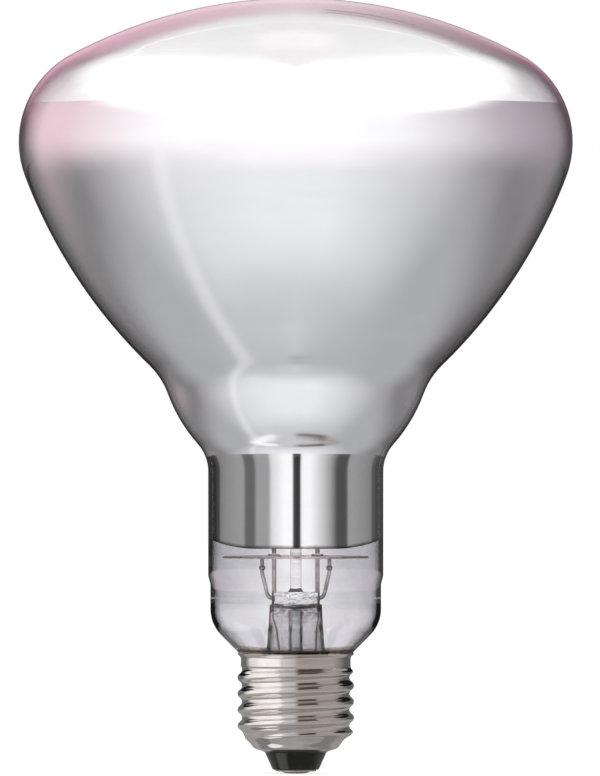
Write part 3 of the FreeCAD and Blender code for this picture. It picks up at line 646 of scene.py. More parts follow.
def new_group(name, inputs, outputs):
    """An empty shader group with named sockets, and its tree, input node and output node."""
    tree = bpy.data.node_groups.new(name, "ShaderNodeTree")
    for socket, kind, value in inputs:
        made = tree.interface.new_socket(socket, in_out="INPUT", socket_type=kind)
        made.default_value = value
    for socket, kind in outputs:
        tree.interface.new_socket(socket, in_out="OUTPUT", socket_type=kind)
    return tree, new_node(tree, "NodeGroupInput"), new_node(tree, "NodeGroupOutput")


def scaled_place(tree, given):
    """Object coordinates times the scale given to a group."""
    scaled = new_node(tree, "ShaderNodeVectorMath", operation="SCALE")
    tree.links.new(object_place(tree), scaled.inputs[0])
    tree.links.new(given.outputs["Scale"], scaled.inputs["Scale"])
    return scaled.outputs[0]


def drawn_metal_group():
    """Fine draw marks, soft stains and small pits of a bright metal, for sheet and wire."""
    tree, given, out = new_group(
        "drawn_metal",
        [
            ("Colour", "NodeSocketColor", (0.8, 0.8, 0.8, 1)),
            ("Stain", "NodeSocketColor", (0.3, 0.25, 0.2, 1)),
            ("Stain Share", "NodeSocketFloat", 0.2),
            ("Roughness", "NodeSocketFloat", 0.2),
            ("Scale", "NodeSocketFloat", 1.0),
        ],
        [("Colour", "NodeSocketColor"), ("Roughness", "NodeSocketFloat"), ("Height", "NodeSocketFloat")],
    )
    spot = scaled_place(tree, given)
    lines = noise(tree, stretched(tree, spot, (160, 160, 2600)), 1.0, 4.0, 0.7)
    cloud = noise(tree, spot, 260.0, 4.0, 0.6, 0.4)
    pits = noise(tree, spot, 2400.0, 2.0, 0.5)
    stain, rough = given.outputs["Stain"], given.outputs["Roughness"]
    stained = times(tree, between(tree, cloud, 0.46, 0.72), given.outputs["Stain Share"])
    tint = blend(tree, stained, given.outputs["Colour"], stain)
    tint = blend(tree, between(tree, lines, 0.3, 0.7, 0.0, 0.18), tint, stain)
    tree.links.new(tint, out.inputs["Colour"])
    rough = maths(tree, "MULTIPLY_ADD", between(tree, cloud, 0.3, 0.7, -0.3, 0.6), rough, rough)
    rough = maths(tree, "MULTIPLY_ADD", between(tree, lines, 0.3, 0.7), 0.06, rough)
    tree.links.new(rough, out.inputs["Roughness"])
    height = maths(tree, "MULTIPLY_ADD", lines, 0.6, times(tree, pits, 0.4))
    tree.links.new(height, out.inputs["Height"])
    return tree


def blown_glass_group():
    """Slow waves and fine cords of blown glass, and a tint that varies a little."""
    tree, given, out = new_group(
        "blown_glass",
        [
            ("Colour", "NodeSocketColor", (1, 1, 1, 1)),
            ("Haze", "NodeSocketColor", (0.9, 0.88, 0.92, 1)),
            ("Scale", "NodeSocketFloat", 1.0),
        ],
        [("Colour", "NodeSocketColor"), ("Height", "NodeSocketFloat")],
    )
    spot = scaled_place(tree, given)
    waves = noise(tree, stretched(tree, spot, (1, 1, 1.6)), 26.0, 1.0, 0.4)
    cords = noise(tree, stretched(tree, spot, (1, 1, 5)), 60.0, 2.0, 0.5, 0.6)
    height = maths(tree, "MULTIPLY_ADD", waves, 0.75, times(tree, cords, 0.25))
    tree.links.new(height, out.inputs["Height"])
    veil = between(tree, cords, 0.35, 0.75)
    tree.links.new(blend(tree, veil, given.outputs["Colour"], given.outputs["Haze"]), out.inputs["Colour"])
    return tree


def shared_group(maker):
    """A shader group made once and used again."""
    name = maker.__name__.removesuffix("_group")
    return bpy.data.node_groups.get(name) or maker()


def new_material(name):
    """A material, its tree and its Principled BSDF."""
    material = bpy.data.materials.new(name)
    material.use_nodes = True
    tree = material.node_tree
    return material, tree, tree.nodes["Principled BSDF"]


def use_group(tree, maker, **values):
    node = new_node(tree, "ShaderNodeGroup", (-500, 0))
    node.node_tree = shared_group(maker)
    for key, value in values.items():
        socket = node.inputs[key.replace("_", " ")]
        socket.default_value = (*value, 1.0) if hasattr(value, "__len__") else value
    return node


def dress(tree, shader, tint, rough):
    """Link a colour and a roughness to a shader."""
    tree.links.new(tint, shader.inputs["Base Color"])
    tree.links.new(rough, shader.inputs["Roughness"])


def add_bump(tree, shader, height, strength, distance):
    bump = new_node(tree, "ShaderNodeBump", (-220, -300))
    fill(bump, Strength=strength, Distance=distance)
    tree.links.new(height, bump.inputs["Height"])
    tree.links.new(bump.outputs["Normal"], shader.inputs["Normal"])


def metal(name, tone, stain, stain_share, roughness, scale=1.0, bump=0.1):
    """A drawn or rolled metal."""
    existing = bpy.data.materials.get(name)
    if existing:
        return existing
    material, tree, shader = new_material(name)
    group = use_group(
        tree,
        drawn_metal_group,
        Colour=tone,
        Stain=stain,
        Stain_Share=stain_share,
        Roughness=roughness,
        Scale=scale,
    )
    fill(shader, Metallic=1.0)
    dress(tree, shader, group.outputs["Colour"], group.outputs["Roughness"])
    add_bump(tree, shader, group.outputs["Height"], bump, 0.02 * MM)
    return material


def glass(name, tone, blush, haze, scale, edge_power, bump):
    """Clear glass, tinted a little more where it is seen edge on, with its tree, tint and facing value."""
    material, tree, shader = new_material(name)
    group = use_group(tree, blown_glass_group, Colour=tone, Haze=haze, Scale=scale)
    weight = new_node(tree, "ShaderNodeLayerWeight")
    weight.inputs["Blend"].default_value = 0.5
    facing = weight.outputs["Facing"]
    tint = blend(tree, maths(tree, "POWER", facing, edge_power), group.outputs["Colour"], blush)
    tree.links.new(tint, shader.inputs["Base Color"])
    fill(shader, Transmission_Weight=1.0, Roughness=0.0, IOR=1.51)
    add_bump(tree, shader, group.outputs["Height"], bump, 0.2 * MM)
    return material, tree, tint, facing


def film_lift(tree, x, y):
    """How far the film's lower edge stands above its foot on each side of the neck."""
    side = maths(tree, "ABSOLUTE", maths(tree, "ARCTAN2", x, times(tree, y, -1.0)))
    wave = maths(tree, "MULTIPLY_ADD", maths(tree, "SINE", times(tree, side, LIFT_WAVES)), LIFT_WAVE, 1.0)
    return times(tree, between(tree, side, *LIFT_SPAN, 0.0, FILM_LIFT), wave)


def clear_glass(scene):
    """The blown glass, with painted shade on the clear neck under the film's edge, and at the cap's rim a
    brown band that is partly baked cement and partly painted shade of the gap.
    """
    finish, levels = scene.lamp_finish, Levels(scene)
    material, tree, tint, facing = glass(
        "glass_blown", finish.clear, finish.blush, (0.985, 0.98, 0.985), 1.0, 10.0, 0.03
    )
    place = object_place(tree)
    x, y, height = axes(tree, place)
    foot, rim = levels.film_foot, levels.rim
    # Painted shade: below the film's edge the glass takes this tint, most where it is seen edge on and a
    # little less further down.
    spread = maths(tree, "POWER", facing, 0.26)
    lowered = maths(tree, "SUBTRACT", height, film_lift(tree, x, y))
    below = between(tree, lowered, foot + 0.7 * MM, foot + 0.2 * MM)
    deep = between(tree, height, foot - 12 * MM, foot, 0.86, 1.0)
    cloud = between(tree, noise(tree, place, 70.0, 2.0), 0.3, 0.7, 0.9, 1.1)
    tint = blend(tree, times(tree, spread, below, deep, cloud), tint, finish.veil)
    # A brown band at the cap's rim: partly baked cement, partly painted shade of the gap between the rim and
    # the glass.
    ragged = maths(tree, "MULTIPLY_ADD", noise(tree, place, 420.0, 3.0), 0.5 * MM, height)
    baked = times(
        tree,
        between(tree, ragged, rim - 0.5 * MM, rim - 0.2 * MM),
        between(tree, ragged, rim + 1.4 * MM, rim + 1.1 * MM),
    )
    stained = blend(tree, baked, tint, finish.stain)
    tree.links.new(stained, tree.nodes["Principled BSDF"].inputs["Base Color"])
    return material


def stem_glass(scene):
    """The stem's glass, greyer edge on, with the marks of the jaws that pinched and pressed it."""
    finish, levels = scene.lamp_finish, Levels(scene)
    material, tree, tint, _ = glass(
        "glass_stem", finish.stem, (0.46, 0.46, 0.49), (0.86, 0.86, 0.86), 11.0, 1.6, 0.5
    )
    place = object_place(tree)
    pressed = band(tree, axes(tree, place)[2], levels.pinch + 0.2 * MM, 3.4 * MM)
    marks = noise(tree, stretched(tree, place, (1, 1, 1.8)), 520.0, 3.0, 0.6, 1.4)
    marks = times(tree, between(tree, marks, 0.5, 0.62), pressed)
    marked = blend(tree, marks, tint, finish.press)
    tree.links.new(marked, tree.nodes["Principled BSDF"].inputs["Base Color"])
    return material


def nickel_wire(scene):
    return metal("wire_nickel", scene.lamp_finish.wire, (0.10, 0.08, 0.06), 0.6, 0.14, 2.0)


def copper_wire(scene):
    return metal("wire_copper", scene.lamp_finish.copper, (0.14, 0.06, 0.04), 0.6, 0.35, 2.0)


def film_material(scene, levels):
    """Aluminium film: satin on the flank, bright in the neck, brown where it fades out."""
    finish = scene.lamp_finish
    material, tree, shader = new_material("film_mirror")
    place = object_place(tree)
    x, y, height = axes(tree, place)
    above = maths(tree, "SUBTRACT", height, film_lift(tree, x, y))
    ragged = maths(tree, "MULTIPLY_ADD", noise(tree, place, 180.0, 3.0), 0.9 * MM, above)
    fade = between(tree, ragged, levels.film_foot + 0.4 * MM, levels.film_foot + 1.5 * MM)
    cloud = noise(tree, place, 45.0, 3.0, 0.5, 0.3)
    tone = blend(tree, between(tree, cloud, 0.3, 0.75), finish.film, toned(finish.film, 0.965))
    satin = between(tree, height, levels.neck_top + 1 * MM, levels.neck_top + 7 * MM, 0.015, 0.125)
    grain = between(tree, noise(tree, place, 900.0, 2.0), 0.3, 0.7, 0.97, 1.04)
    rough = maths(tree, "MAXIMUM", times(tree, satin, grain), between(tree, fade, 0.0, 1.0, 0.4, 0.0))
    dress(tree, shader, blend(tree, fade, finish.film_edge, tone), rough)
    fill(shader, Metallic=1.0)
    group = use_group(tree, blown_glass_group, Scale=1.0)
    add_bump(tree, shader, group.outputs["Height"], 0.02, 0.2 * MM)
    return material


def nickel_material(scene):
    return metal("shell_nickel", scene.lamp_finish.nickel, (0.30, 0.24, 0.21), 0.2, 0.05, 0.6, 0.06)


def insulator_material(scene):
    """Glossy black moulded glass with faint flow lines and mould grain."""
    material, tree, shader = new_material("glass_black")
    flow = noise(tree, stretched(tree, object_place(tree), (1, 1, 3)), 320.0, 3.0, 0.5, 1.0)
    tone = scene.lamp_finish.insulator
    tint = blend(tree, between(tree, flow, 0.4, 0.7), tone, toned(tone, 2.2))
    dress(tree, shader, tint, between(tree, flow, 0.3, 0.7, 0.05, 0.12))
    fill(shader, IOR=1.54)
    add_bump(tree, shader, flow, 0.25, 0.05 * MM)
    return material


def solder_material(scene):
    """Tin solder, smooth with a frozen skin and a trace of flux."""
    existing = bpy.data.materials.get("solder_tin")
    if existing:
        return existing
    material, tree, shader = new_material("solder_tin")
    place = object_place(tree)
    crust = noise(tree, place, 700.0, 4.0, 0.6, 0.5)
    flux = noise(tree, place, 240.0, 2.0)
    tone = scene.lamp_finish.solder
    dull = blend(tree, between(tree, crust, 0.4, 0.7), tone, toned(tone, 0.6))
    tint = blend(tree, between(tree, flux, 0.58, 0.75, 0.0, 0.5), dull, (0.25, 0.16, 0.07))
    dress(tree, shader, tint, between(tree, crust, 0.3, 0.7, 0.18, 0.42))
    fill(shader, Metallic=1.0)
    add_bump(tree, shader, crust, 0.35, 0.08 * MM)
    return material


def cement_material(scene):
    """Matt baked cement with fine grains and pores."""
    material, tree, shader = new_material("cement_baked")
    place = object_place(tree)
    grain = noise(tree, place, 1500.0, 5.0, 0.7)
    cloud = noise(tree, place, 200.0, 3.0)
    tone = scene.lamp_finish.cement
    base = blend(tree, between(tree, cloud, 0.3, 0.7), tone, toned(tone, 0.7))
    tint = blend(tree, between(tree, grain, 0.45, 0.7, 0.0, 0.6), base, toned(tone, 0.35))
    dress(tree, shader, tint, between(tree, grain, 0.3, 0.7, 0.8, 0.95))
    add_bump(tree, shader, grain, 0.6, 0.15 * MM)
    return material


# Pieces
def ease(value, low, high):
    """A smooth step from 0 at low to 1 at high."""
    part = min(max((value - low) / (high - low), 0), 1)
    return part * part * (3 - 2 * part)


class HEATLAMP_OT_glass(bpy.types.Operator):
    """Blow the clear glass bulb"""

    bl_idname = "heatlamp.glass"
    bl_label = "Glass bulb"

    def execute(self, context):
        scene = context.scene
        bulb, levels = scene.lamp_bulb, Levels(scene)
        outer = glass_outline(bulb, levels)
        inner = offset(outer, bulb.wall)
        profile = trace(outer, 2.0 * MM) + trace(inner, 2.0 * MM)[::-1]
        bm = bmesh.new()
        turned(bm, profile, 192)
        piece = finish_piece("glass_bulb_blown", bm, clear_glass(scene), ["glass_bulb"], 60)
        piece.visible_shadow = False
        return {"FINISHED"}


class HEATLAMP_OT_film(bpy.types.Operator):
    """Lay the mirror film inside the flank and the neck"""

    bl_idname = "heatlamp.film"
    bl_label = "Mirror film"

    def execute(self, context):
        scene = context.scene
        bulb, levels = scene.lamp_bulb, Levels(scene)
        face = film_outline(bulb, levels, offset(glass_outline(bulb, levels), bulb.wall))
        outer = offset(face, bulb.film_clearance)
        inner = offset(outer, bulb.film_thickness)
        bm = bmesh.new()
        turned(bm, trace(outer, 1.6 * MM) + trace(inner, 1.6 * MM)[::-1], 192)
        foot = outer[-1].z
        for vertex in bm.verts:
            side = abs(math.atan2(vertex.co.x, -vertex.co.y))
            lift = FILM_LIFT * ease(side, *LIFT_SPAN) * (1 + LIFT_WAVE * math.sin(LIFT_WAVES * side))
            vertex.co.z += lift * ease(vertex.co.z, foot + 6 * MM, foot)
        mirror = film_material(scene, levels)
        finish_piece("mirror_film_coat", bm, mirror, ["mirror_film"], 60)
        return {"FINISHED"}


def thread_wave(phase, crest, root, pitch):
    """Height of a rolled round thread above its root, from two arcs that touch."""
    depth = crest - root
    radius = ((pitch / 4) ** 2 + (depth / 2) ** 2) / depth
    across = (phase - math.floor(phase + 0.5)) * pitch
    if abs(across) <= pitch / 4:
        return depth - radius + math.sqrt(radius**2 - across**2)
    rest = pitch / 2 - abs(across)
    return radius - math.sqrt(radius**2 - rest**2)


class HEATLAMP_OT_shell(bpy.types.Operator):
    """Roll the threaded shell of the cap, with a right-hand round thread"""

    bl_idname = "heatlamp.shell"
    bl_label = "Cap shell"

    def execute(self, context):
        scene = context.scene
        cap, levels = scene.lamp_cap, Levels(scene)
        root = cap.root_width / 2
        corners = [
            (cap.lip_width / 2, levels.lip),
            (cap.bevel_width / 2, levels.bevel),
            (root, levels.thread),
            (root, levels.thread_end),
            (cap.skirt_width / 2, levels.skirt),
            (cap.skirt_width / 2, levels.flare),
            (cap.skirt_width / 2 + cap.flare_width, levels.rim),
        ]
        radii = [1.6 * MM, 2.4 * MM, 0.3 * MM, 0.3 * MM, 0.6 * MM]
        outer = trace(rounded(corners, radii), 0.19 * MM)
        inner = trace(offset(rounded(corners, radii), -cap.sheet), 0.19 * MM)

        def relief(at, height):
            fade = ease(height, *THREAD_IN) * (1 - ease(height, *THREAD_OUT))
            phase = (height - cap.first_crest) / cap.pitch - at / TURN
            return fade * thread_wave(phase, cap.crest_width / 2, root, cap.pitch)

        bm = bmesh.new()
        rings = [ring_points(r, z, 180, relief) for r, z in outer + inner[::-1]]
        skin(bm, rings, loop=True)
        finish_piece("cap_shell_threaded", bm, nickel_material(scene), ["cap_shell"], 60)
        return {"FINISHED"}


class HEATLAMP_OT_foot(bpy.types.Operator):
    """Mould the black insulator and set the contact plate and its solder drop under it"""

    bl_idname = "heatlamp.foot"
    bl_label = "Insulator and contact"

    def execute(self, context):
        scene = context.scene
        cap, levels = scene.lamp_cap, Levels(scene)
        lip = cap.lip_width / 2
        rim = lip + 1.2 * MM
        profile = [(0, levels.insulator)]
        corners = [
            (0.6 * MM, levels.insulator),
            (cap.insulator_width / 2, levels.insulator),
            (lip - 0.05 * MM, levels.lip - 0.1 * MM),
            (rim, levels.lip + 0.45 * MM),
            (rim + 1.6 * MM, levels.lip + 1.4 * MM),
            (rim + 1.6 * MM, levels.flange),
            (1.2 * MM, levels.flange),
        ]
        radii = [0.55 * MM, 0.3 * MM, 0.2 * MM, 0.2 * MM, 0.3 * MM]
        profile += trace(rounded(corners, radii), 0.4 * MM)
        bm = bmesh.new()
        turned(bm, profile + [(0, levels.flange)], 128)
        black = insulator_material(scene)
        finish_piece("cap_insulator_moulded", bm, black, ["cap_insulator"], 50)

        half = cap.contact_width / 2
        plate = [
            (0.5 * MM, levels.insulator),
            (half, levels.insulator),
            (half, levels.contact),
            (0.5 * MM, levels.contact),
        ]
        profile = [(0, levels.insulator)] + trace(rounded(plate, [0.08 * MM, 0.15 * MM]), 0.4 * MM)
        bm = bmesh.new()
        turned(bm, profile + [(0, levels.contact)], 96)
        brass = metal("plate_brass", scene.lamp_finish.brass, (0.22, 0.16, 0.08), 0.45, 0.22)
        finish_piece("centre_contact_plate", bm, brass, ["centre_contact"], 50)

        foot, drop = cap.drop_flat / 2, cap.drop_width / 2
        side = drop - foot
        curve = (side**2 + cap.drop_height**2) / (2 * cap.drop_height)
        path = [Vertex(0, 0), Vertex(foot, 0, 1, curve), Vertex(drop, levels.contact)]
        bm = bmesh.new()
        turned(bm, trace(path, 0.3 * MM, math.radians(3)) + [(0, levels.contact + 0.02 * MM)], 72)
        finish_piece("centre_solder_drop", bm, solder_material(scene), ["centre_solder"], 50)
        return {"FINISHED"}


class HEATLAMP_OT_seal(bpy.types.Operator):
    """Finish the cement in the cap and put the solder on the skirt"""

    bl_idname = "heatlamp.seal"
    bl_label = "Cement and side solder"

    def execute(self, context):
        scene = context.scene
        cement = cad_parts["cement_ring"]
        cement.data.materials.clear()
        cement.data.materials.append(cement_material(scene))
        low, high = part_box("side_solder")
        middle = (low + high) / 2
        bm = bmesh.new()
        spot = Vector((middle.x, high.y - scene.lamp_cap.blob_width / 2, middle.z))
        ball(bm, spot, scene.lamp_cap.blob_width / 2, 0.99, 32)
        finish_piece("side_solder_blob", bm, solder_material(scene), ["side_solder"])
        return {"FINISHED"}


def slot_point(width, depth, at):
    """A point of a slot with round ends, in a direction from its middle."""
    half, reach = depth / 2, (width - depth) / 2
    cosine, sine = math.cos(at), math.sin(at)
    if abs(sine) > TINY and abs(cosine / sine) * half <= reach:
        return Vector((cosine / abs(sine) * half, math.copysign(half, sine)))
    shift = math.copysign(reach, cosine)
    along = cosine * shift + math.sqrt(max(half**2 - (sine * shift) ** 2, 0))
    return Vector((along * cosine, along * sine))


def oval_ring(width, depth, height, segments, squareness):
    """A ring between an ellipse (0) and a slot with round ends (1)."""
    points = []
    for i in range(segments):
        at = TURN * i / segments
        ellipse = Vector((width / 2 * math.cos(at), depth / 2 * math.sin(at)))
        slot = slot_point(width, depth, math.atan2(ellipse.y, ellipse.x))
        flat = ellipse.lerp(slot, squareness)
        points.append(Vector((flat.x, flat.y, height)))
    return points


class HEATLAMP_OT_stem(bpy.types.Operator):
    """Blow the stem's flare, tube, pinch and press, with the exhaust tube and the rod"""

    bl_idname = "heatlamp.stem"
    bl_label = "Stem"

    def execute(self, context):
        scene = context.scene
        stem, bulb, levels = scene.lamp_stem, scene.lamp_bulb, Levels(scene)
        top, foot, flare = stem.top_width / 2, stem.foot_width / 2, stem.flare_radius
        segments = 96
        outer_path = [
            Vertex(bulb.insert_width / 2 - 0.02 * MM, levels.seal),
            Vertex(foot + flare, levels.seal, -1, flare),
            Vertex(foot, levels.seal + flare),
            Vertex(top, levels.tube_top),
        ]
        inner_path = offset(outer_path, -stem.wall)
        outer = [ring_points(r, z, segments) for r, z in trace(outer_path, 0.8 * MM)]
        inner = [ring_points(r, z, segments) for r, z in trace(inner_path, 0.8 * MM)]
        hollow = stem.top_width - 2 * stem.wall
        steps = 14
        for i in range(1, steps + 1):
            part = i / steps
            soft = ease(part, -0.1, 1.1)
            width = stem.top_width + (stem.pinch_width - stem.top_width) * soft
            depth = stem.top_width + (stem.pinch_depth - stem.top_width) * soft
            height = levels.tube_top + stem.pinch_height * part
            outer.append(oval_ring(width, depth, height, segments, 0.0))
            depth = hollow + (stem.hollow_depth - hollow) * part
            height = levels.tube_top + (levels.hollow - levels.tube_top) * part
            inner.append(oval_ring(hollow * (1 - 0.1 * part), depth, height, segments, 0.0))
        rise, edge = stem.press_height, 0.35 * MM
        for part, inset, square in (
            (0.04, 0.1, 0.5),
            (0.10, 0.0, 0.9),
            (0.5, 0.0, 1.0),
            (1 - edge / rise, 0.0, 1.0),
            (1 - 0.5 * edge / rise, 0.14, 1.0),
            (1.0, 0.5, 1.0),
        ):
            width, depth = stem.press_width - 2 * inset * edge, stem.press_depth - 2 * inset * edge
            outer.append(oval_ring(width, depth, levels.pinch + rise * part, segments, square))
        outer.append(oval_ring(stem.press_width * 0.5, stem.press_depth * 0.4, levels.press, segments, 1.0))
        outer.append([Vector((0, 0, levels.press))])
        inner.append(oval_ring(stem.top_width * 0.4, stem.hollow_depth * 0.5, levels.hollow, segments, 0.0))
        inner.append([Vector((0, 0, levels.hollow))])
        bm = bmesh.new()
        skin(bm, inner[::-1] + outer)
        glassy = stem_glass(scene)
        tube = finish_piece("stem_tube_pressed", bm, glassy, ["stem_tube"], 50)

        half, bore = stem.exhaust_width / 2, stem.exhaust_bore / 2
        low = levels.exhaust_foot
        seat = (hollow - stem.exhaust_width - 0.1 * MM) / (hollow - stem.hollow_depth)
        high = levels.tube_top + seat * (levels.hollow - levels.tube_top)
        outside = [Vertex(0, low, 1, half), Vertex(half, low + half), Vertex(half, high)]
        inside = [Vertex(0, low + half - bore, 1, bore), Vertex(bore, low + half), Vertex(bore, high)]
        bm = bmesh.new()
        turned(bm, trace(outside, 1.0 * MM) + trace(inside, 1.0 * MM)[::-1], 48)
        exhaust = finish_piece("exhaust_tube_sealed", bm, glassy, ["exhaust_tube"], 50)

        rod, button, soft = stem.rod_width / 2, stem.button_width / 2, stem.button_round
        middle, rise = levels.press + stem.rod_height, stem.button_height / 2
        corners = [
            (rod + 0.5 * MM, levels.press),
            (rod, levels.press + 0.8 * MM),
            (rod, middle - rise),
            (button, middle - rise),
            (button, middle + rise),
            (0.4 * MM, middle + rise),
        ]
        path = rounded(corners, [0.5 * MM, 0.3 * MM, soft, soft])
        bm = bmesh.new()
        turned(bm, [(0, levels.press)] + trace(path, 0.9 * MM) + [(0, middle + rise)], 48)
        arbor = finish_piece("arbor_rod_drawn", bm, glassy, ["arbor_rod"], 50)
        for piece in (tube, exhaust, arbor):
            piece.visible_shadow = False
        return {"FINISHED"}


def looped(points, radii, coil, wire):
    """A bent wire whose end goes three quarters of the way round the filament."""
    reach, height = points[-1]
    radius = coil / 2 + 0.15 * MM + wire / 2
    path = rounded(points[:-2] + [(points[-2][0], height - radius), (reach, height - radius)], radii)
    return path[:-1] + [
        Vertex(reach, height - radius, 1, radius),
        Vertex(reach + radius, height, 1, radius),
        Vertex(reach, height + radius, 1, radius),
        Vertex(reach - radius, height),
    ]


def on_ring(wires, at):
    """A point of the filament's ring in the plan."""
    return (wires.ring_width / 2 * math.cos(at), wires.ring_width / 2 * math.sin(at))


class HEATLAMP_OT_leads(bpy.types.Operator):
    """Bend the inner, sealed and outer parts of the two leads"""

    bl_idname = "heatlamp.leads"
    bl_label = "Leads"

    def execute(self, context):
        scene = context.scene
        wires, stem, cap, bulb = scene.lamp_wires, scene.lamp_stem, scene.lamp_cap, scene.lamp_bulb
        levels = Levels(scene)
        half, bend, dip = wires.spacing / 2, wires.bend, levels.press - 0.3 * MM
        nickel, copper = nickel_wire(scene), copper_wire(scene)
        for name, side, at in (
            ("left", -1, math.radians(270) - wires.ring_gap / 2 - GRIP),
            ("right", 1, wires.ring_gap / 2 + GRIP - math.radians(90)),
        ):
            foot, end = (half * side, 0), on_ring(wires, at)
            reach = math.hypot(end[0] - foot[0], end[1] - foot[1])
            points = [
                (0, dip),
                (0, levels.press + wires.filament_rise * 0.45),
                (reach - 1.2 * bend, levels.ring),
                (reach, levels.ring),
            ]
            bm = bmesh.new()
            path = looped(points, [bend, bend], wires.coil_width, wires.inner_width)
            sweep(bm, upright(path, foot, end), wires.inner_width / 2)
            finish_piece(f"inner_lead_{name}_bent", bm, nickel, [f"inner_lead_{name}"])
            bm = bmesh.new()
            line = [Vertex(0, levels.joint), Vertex(0, dip)]
            sweep(bm, upright(line, foot, (0, 0)), wires.seal_width / 2)
            finish_piece(f"seal_wire_{name}_drawn", bm, copper, [f"seal_wire_{name}"])

        straight, fall = levels.joint - 1.2 * MM, levels.joint - 8.6 * MM
        points = [
            (half, levels.joint),
            (half, straight),
            (half - 1.3 * MM, fall),
            (stem.exhaust_width, levels.exhaust_foot + 3.0 * MM),
            (0, levels.flange + 1.5 * MM),
            (0, levels.contact),
        ]
        bm = bmesh.new()
        sweep(bm, upright(rounded(points, [bend] * 4), (0, 0), (-1, 0)), wires.outer_width / 2)
        finish_piece("outer_lead_centre_bent", bm, copper, ["outer_lead_centre"])

        lane = (bulb.insert_width / 2 + cap.root_width / 2 - cap.sheet) / 2
        reach = math.hypot(half, lane)
        lean = -(half**2) / reach
        skirt = cap.skirt_width / 2 - cap.sheet / 3
        out = -lean + math.sqrt(lean**2 - half**2 + skirt**2)
        under, leave = levels.seal - stem.wall - 2.0 * MM, (levels.skirt + levels.flare) / 2
        points = [
            (0, levels.joint),
            (0, straight),
            (0.8 * MM, fall),
            (1.2 * MM, under),
            (reach, under),
            (reach, leave),
            (out, leave),
        ]
        tight = wires.tight_bend
        bm = bmesh.new()
        path = rounded(points, [bend, bend, tight, tight, 0.5 * MM])
        sweep(bm, upright(path, (half, 0), (0, lane)), wires.outer_width / 2)
        finish_piece("outer_lead_side_bent", bm, copper, ["outer_lead_side"])
        return {"FINISHED"}


class HEATLAMP_OT_shield(bpy.types.Operator):
    """Stamp the heat shield and weld its two holder wires"""

    bl_idname = "heatlamp.shield"
    bl_label = "Heat shield"

    def execute(self, context):
        scene = context.scene
        wires, stem, levels = scene.lamp_wires, scene.lamp_stem, Levels(scene)
        half, thick = wires.spacing / 2, wires.shield_thickness
        hole = stem.rod_width / 2 + wires.rod_gap
        outline = bpy.data.curves.new("shield_outline", "CURVE")
        outline.dimensions = "2D"
        outline.fill_mode = "BOTH"
        outline.extrude = thick / 2 - 0.08 * MM
        outline.bevel_depth = 0.08 * MM
        outline.bevel_resolution = 2
        rings = [(0, wires.shield_width / 2, 160, -1), (0, hole, 48, 1)]
        rings += [(x, wires.eyelet_bore / 2, 36, 1) for x in (half, -half)]
        for x, radius, count, way in rings:
            radius += outline.bevel_depth * way
            spline = outline.splines.new("POLY")
            spline.points.add(count - 1)
            spline.use_cyclic_u = True
            for i, point in enumerate(spline.points):
                at = TURN * i / count
                point.co = (x + radius * math.cos(at), radius * math.sin(at), 0, 1)
        blank = bpy.data.objects.new("shield_outline", outline)
        disc = bpy.data.meshes.new_from_object(blank)
        disc.transform(Matrix.Translation((0, 0, levels.shield + thick / 2)))
        bm = bmesh.new()
        bm.from_mesh(disc)
        bpy.data.objects.remove(blank)
        bpy.data.curves.remove(outline)
        bpy.data.meshes.remove(disc)
        low, high = levels.shield + thick * 0.5, levels.shield + thick + wires.eyelet_height
        bore, wall = wires.eyelet_bore / 2, wires.eyelet_rim
        collar = [
            (bore, low),
            (bore + wall * 1.2, low),
            (bore + wall, high - 0.1 * MM),
            (bore + wall * 0.6, high),
            (bore, high - 0.05 * MM),
        ]
        for x in (-half, half):
            rings = [[point + Vector((x, 0, 0)) for point in ring_points(r, z, 36)] for r, z in collar]
            skin(bm, rings, loop=True)
        tin = metal("shield_steel", scene.lamp_finish.shield, (0.36, 0.24, 0.24), 0.35, 0.24)
        finish_piece("heat_shield_stamped", bm, tin, ["heat_shield"], 35)

        reach, start = wires.holder_spread / 2, levels.pinch + stem.press_height / 2
        weld = levels.shield - 2.3 * MM
        grip, nickel = 1.4 * MM, nickel_wire(scene)
        for name, side in (("left", -1), ("right", 1)):
            points = [
                (stem.press_width / 2 - grip, start),
                (reach - grip, start),
                (reach, weld - 1.0 * MM),
                (reach, levels.shield),
            ]
            foot = (0, wires.holder_shift)
            path = upright(rounded(points, [wires.tight_bend, 4.0 * MM]), foot, (side, wires.holder_shift))
            bm = bmesh.new()
            sweep(bm, path, wires.holder_width / 2)
            ball(bm, Vector((reach * side, wires.holder_shift, weld)), wires.weld_width / 2, 0.95)
            finish_piece(f"shield_wire_{name}_bent", bm, nickel, [f"shield_wire_{name}"])
        return {"FINISHED"}


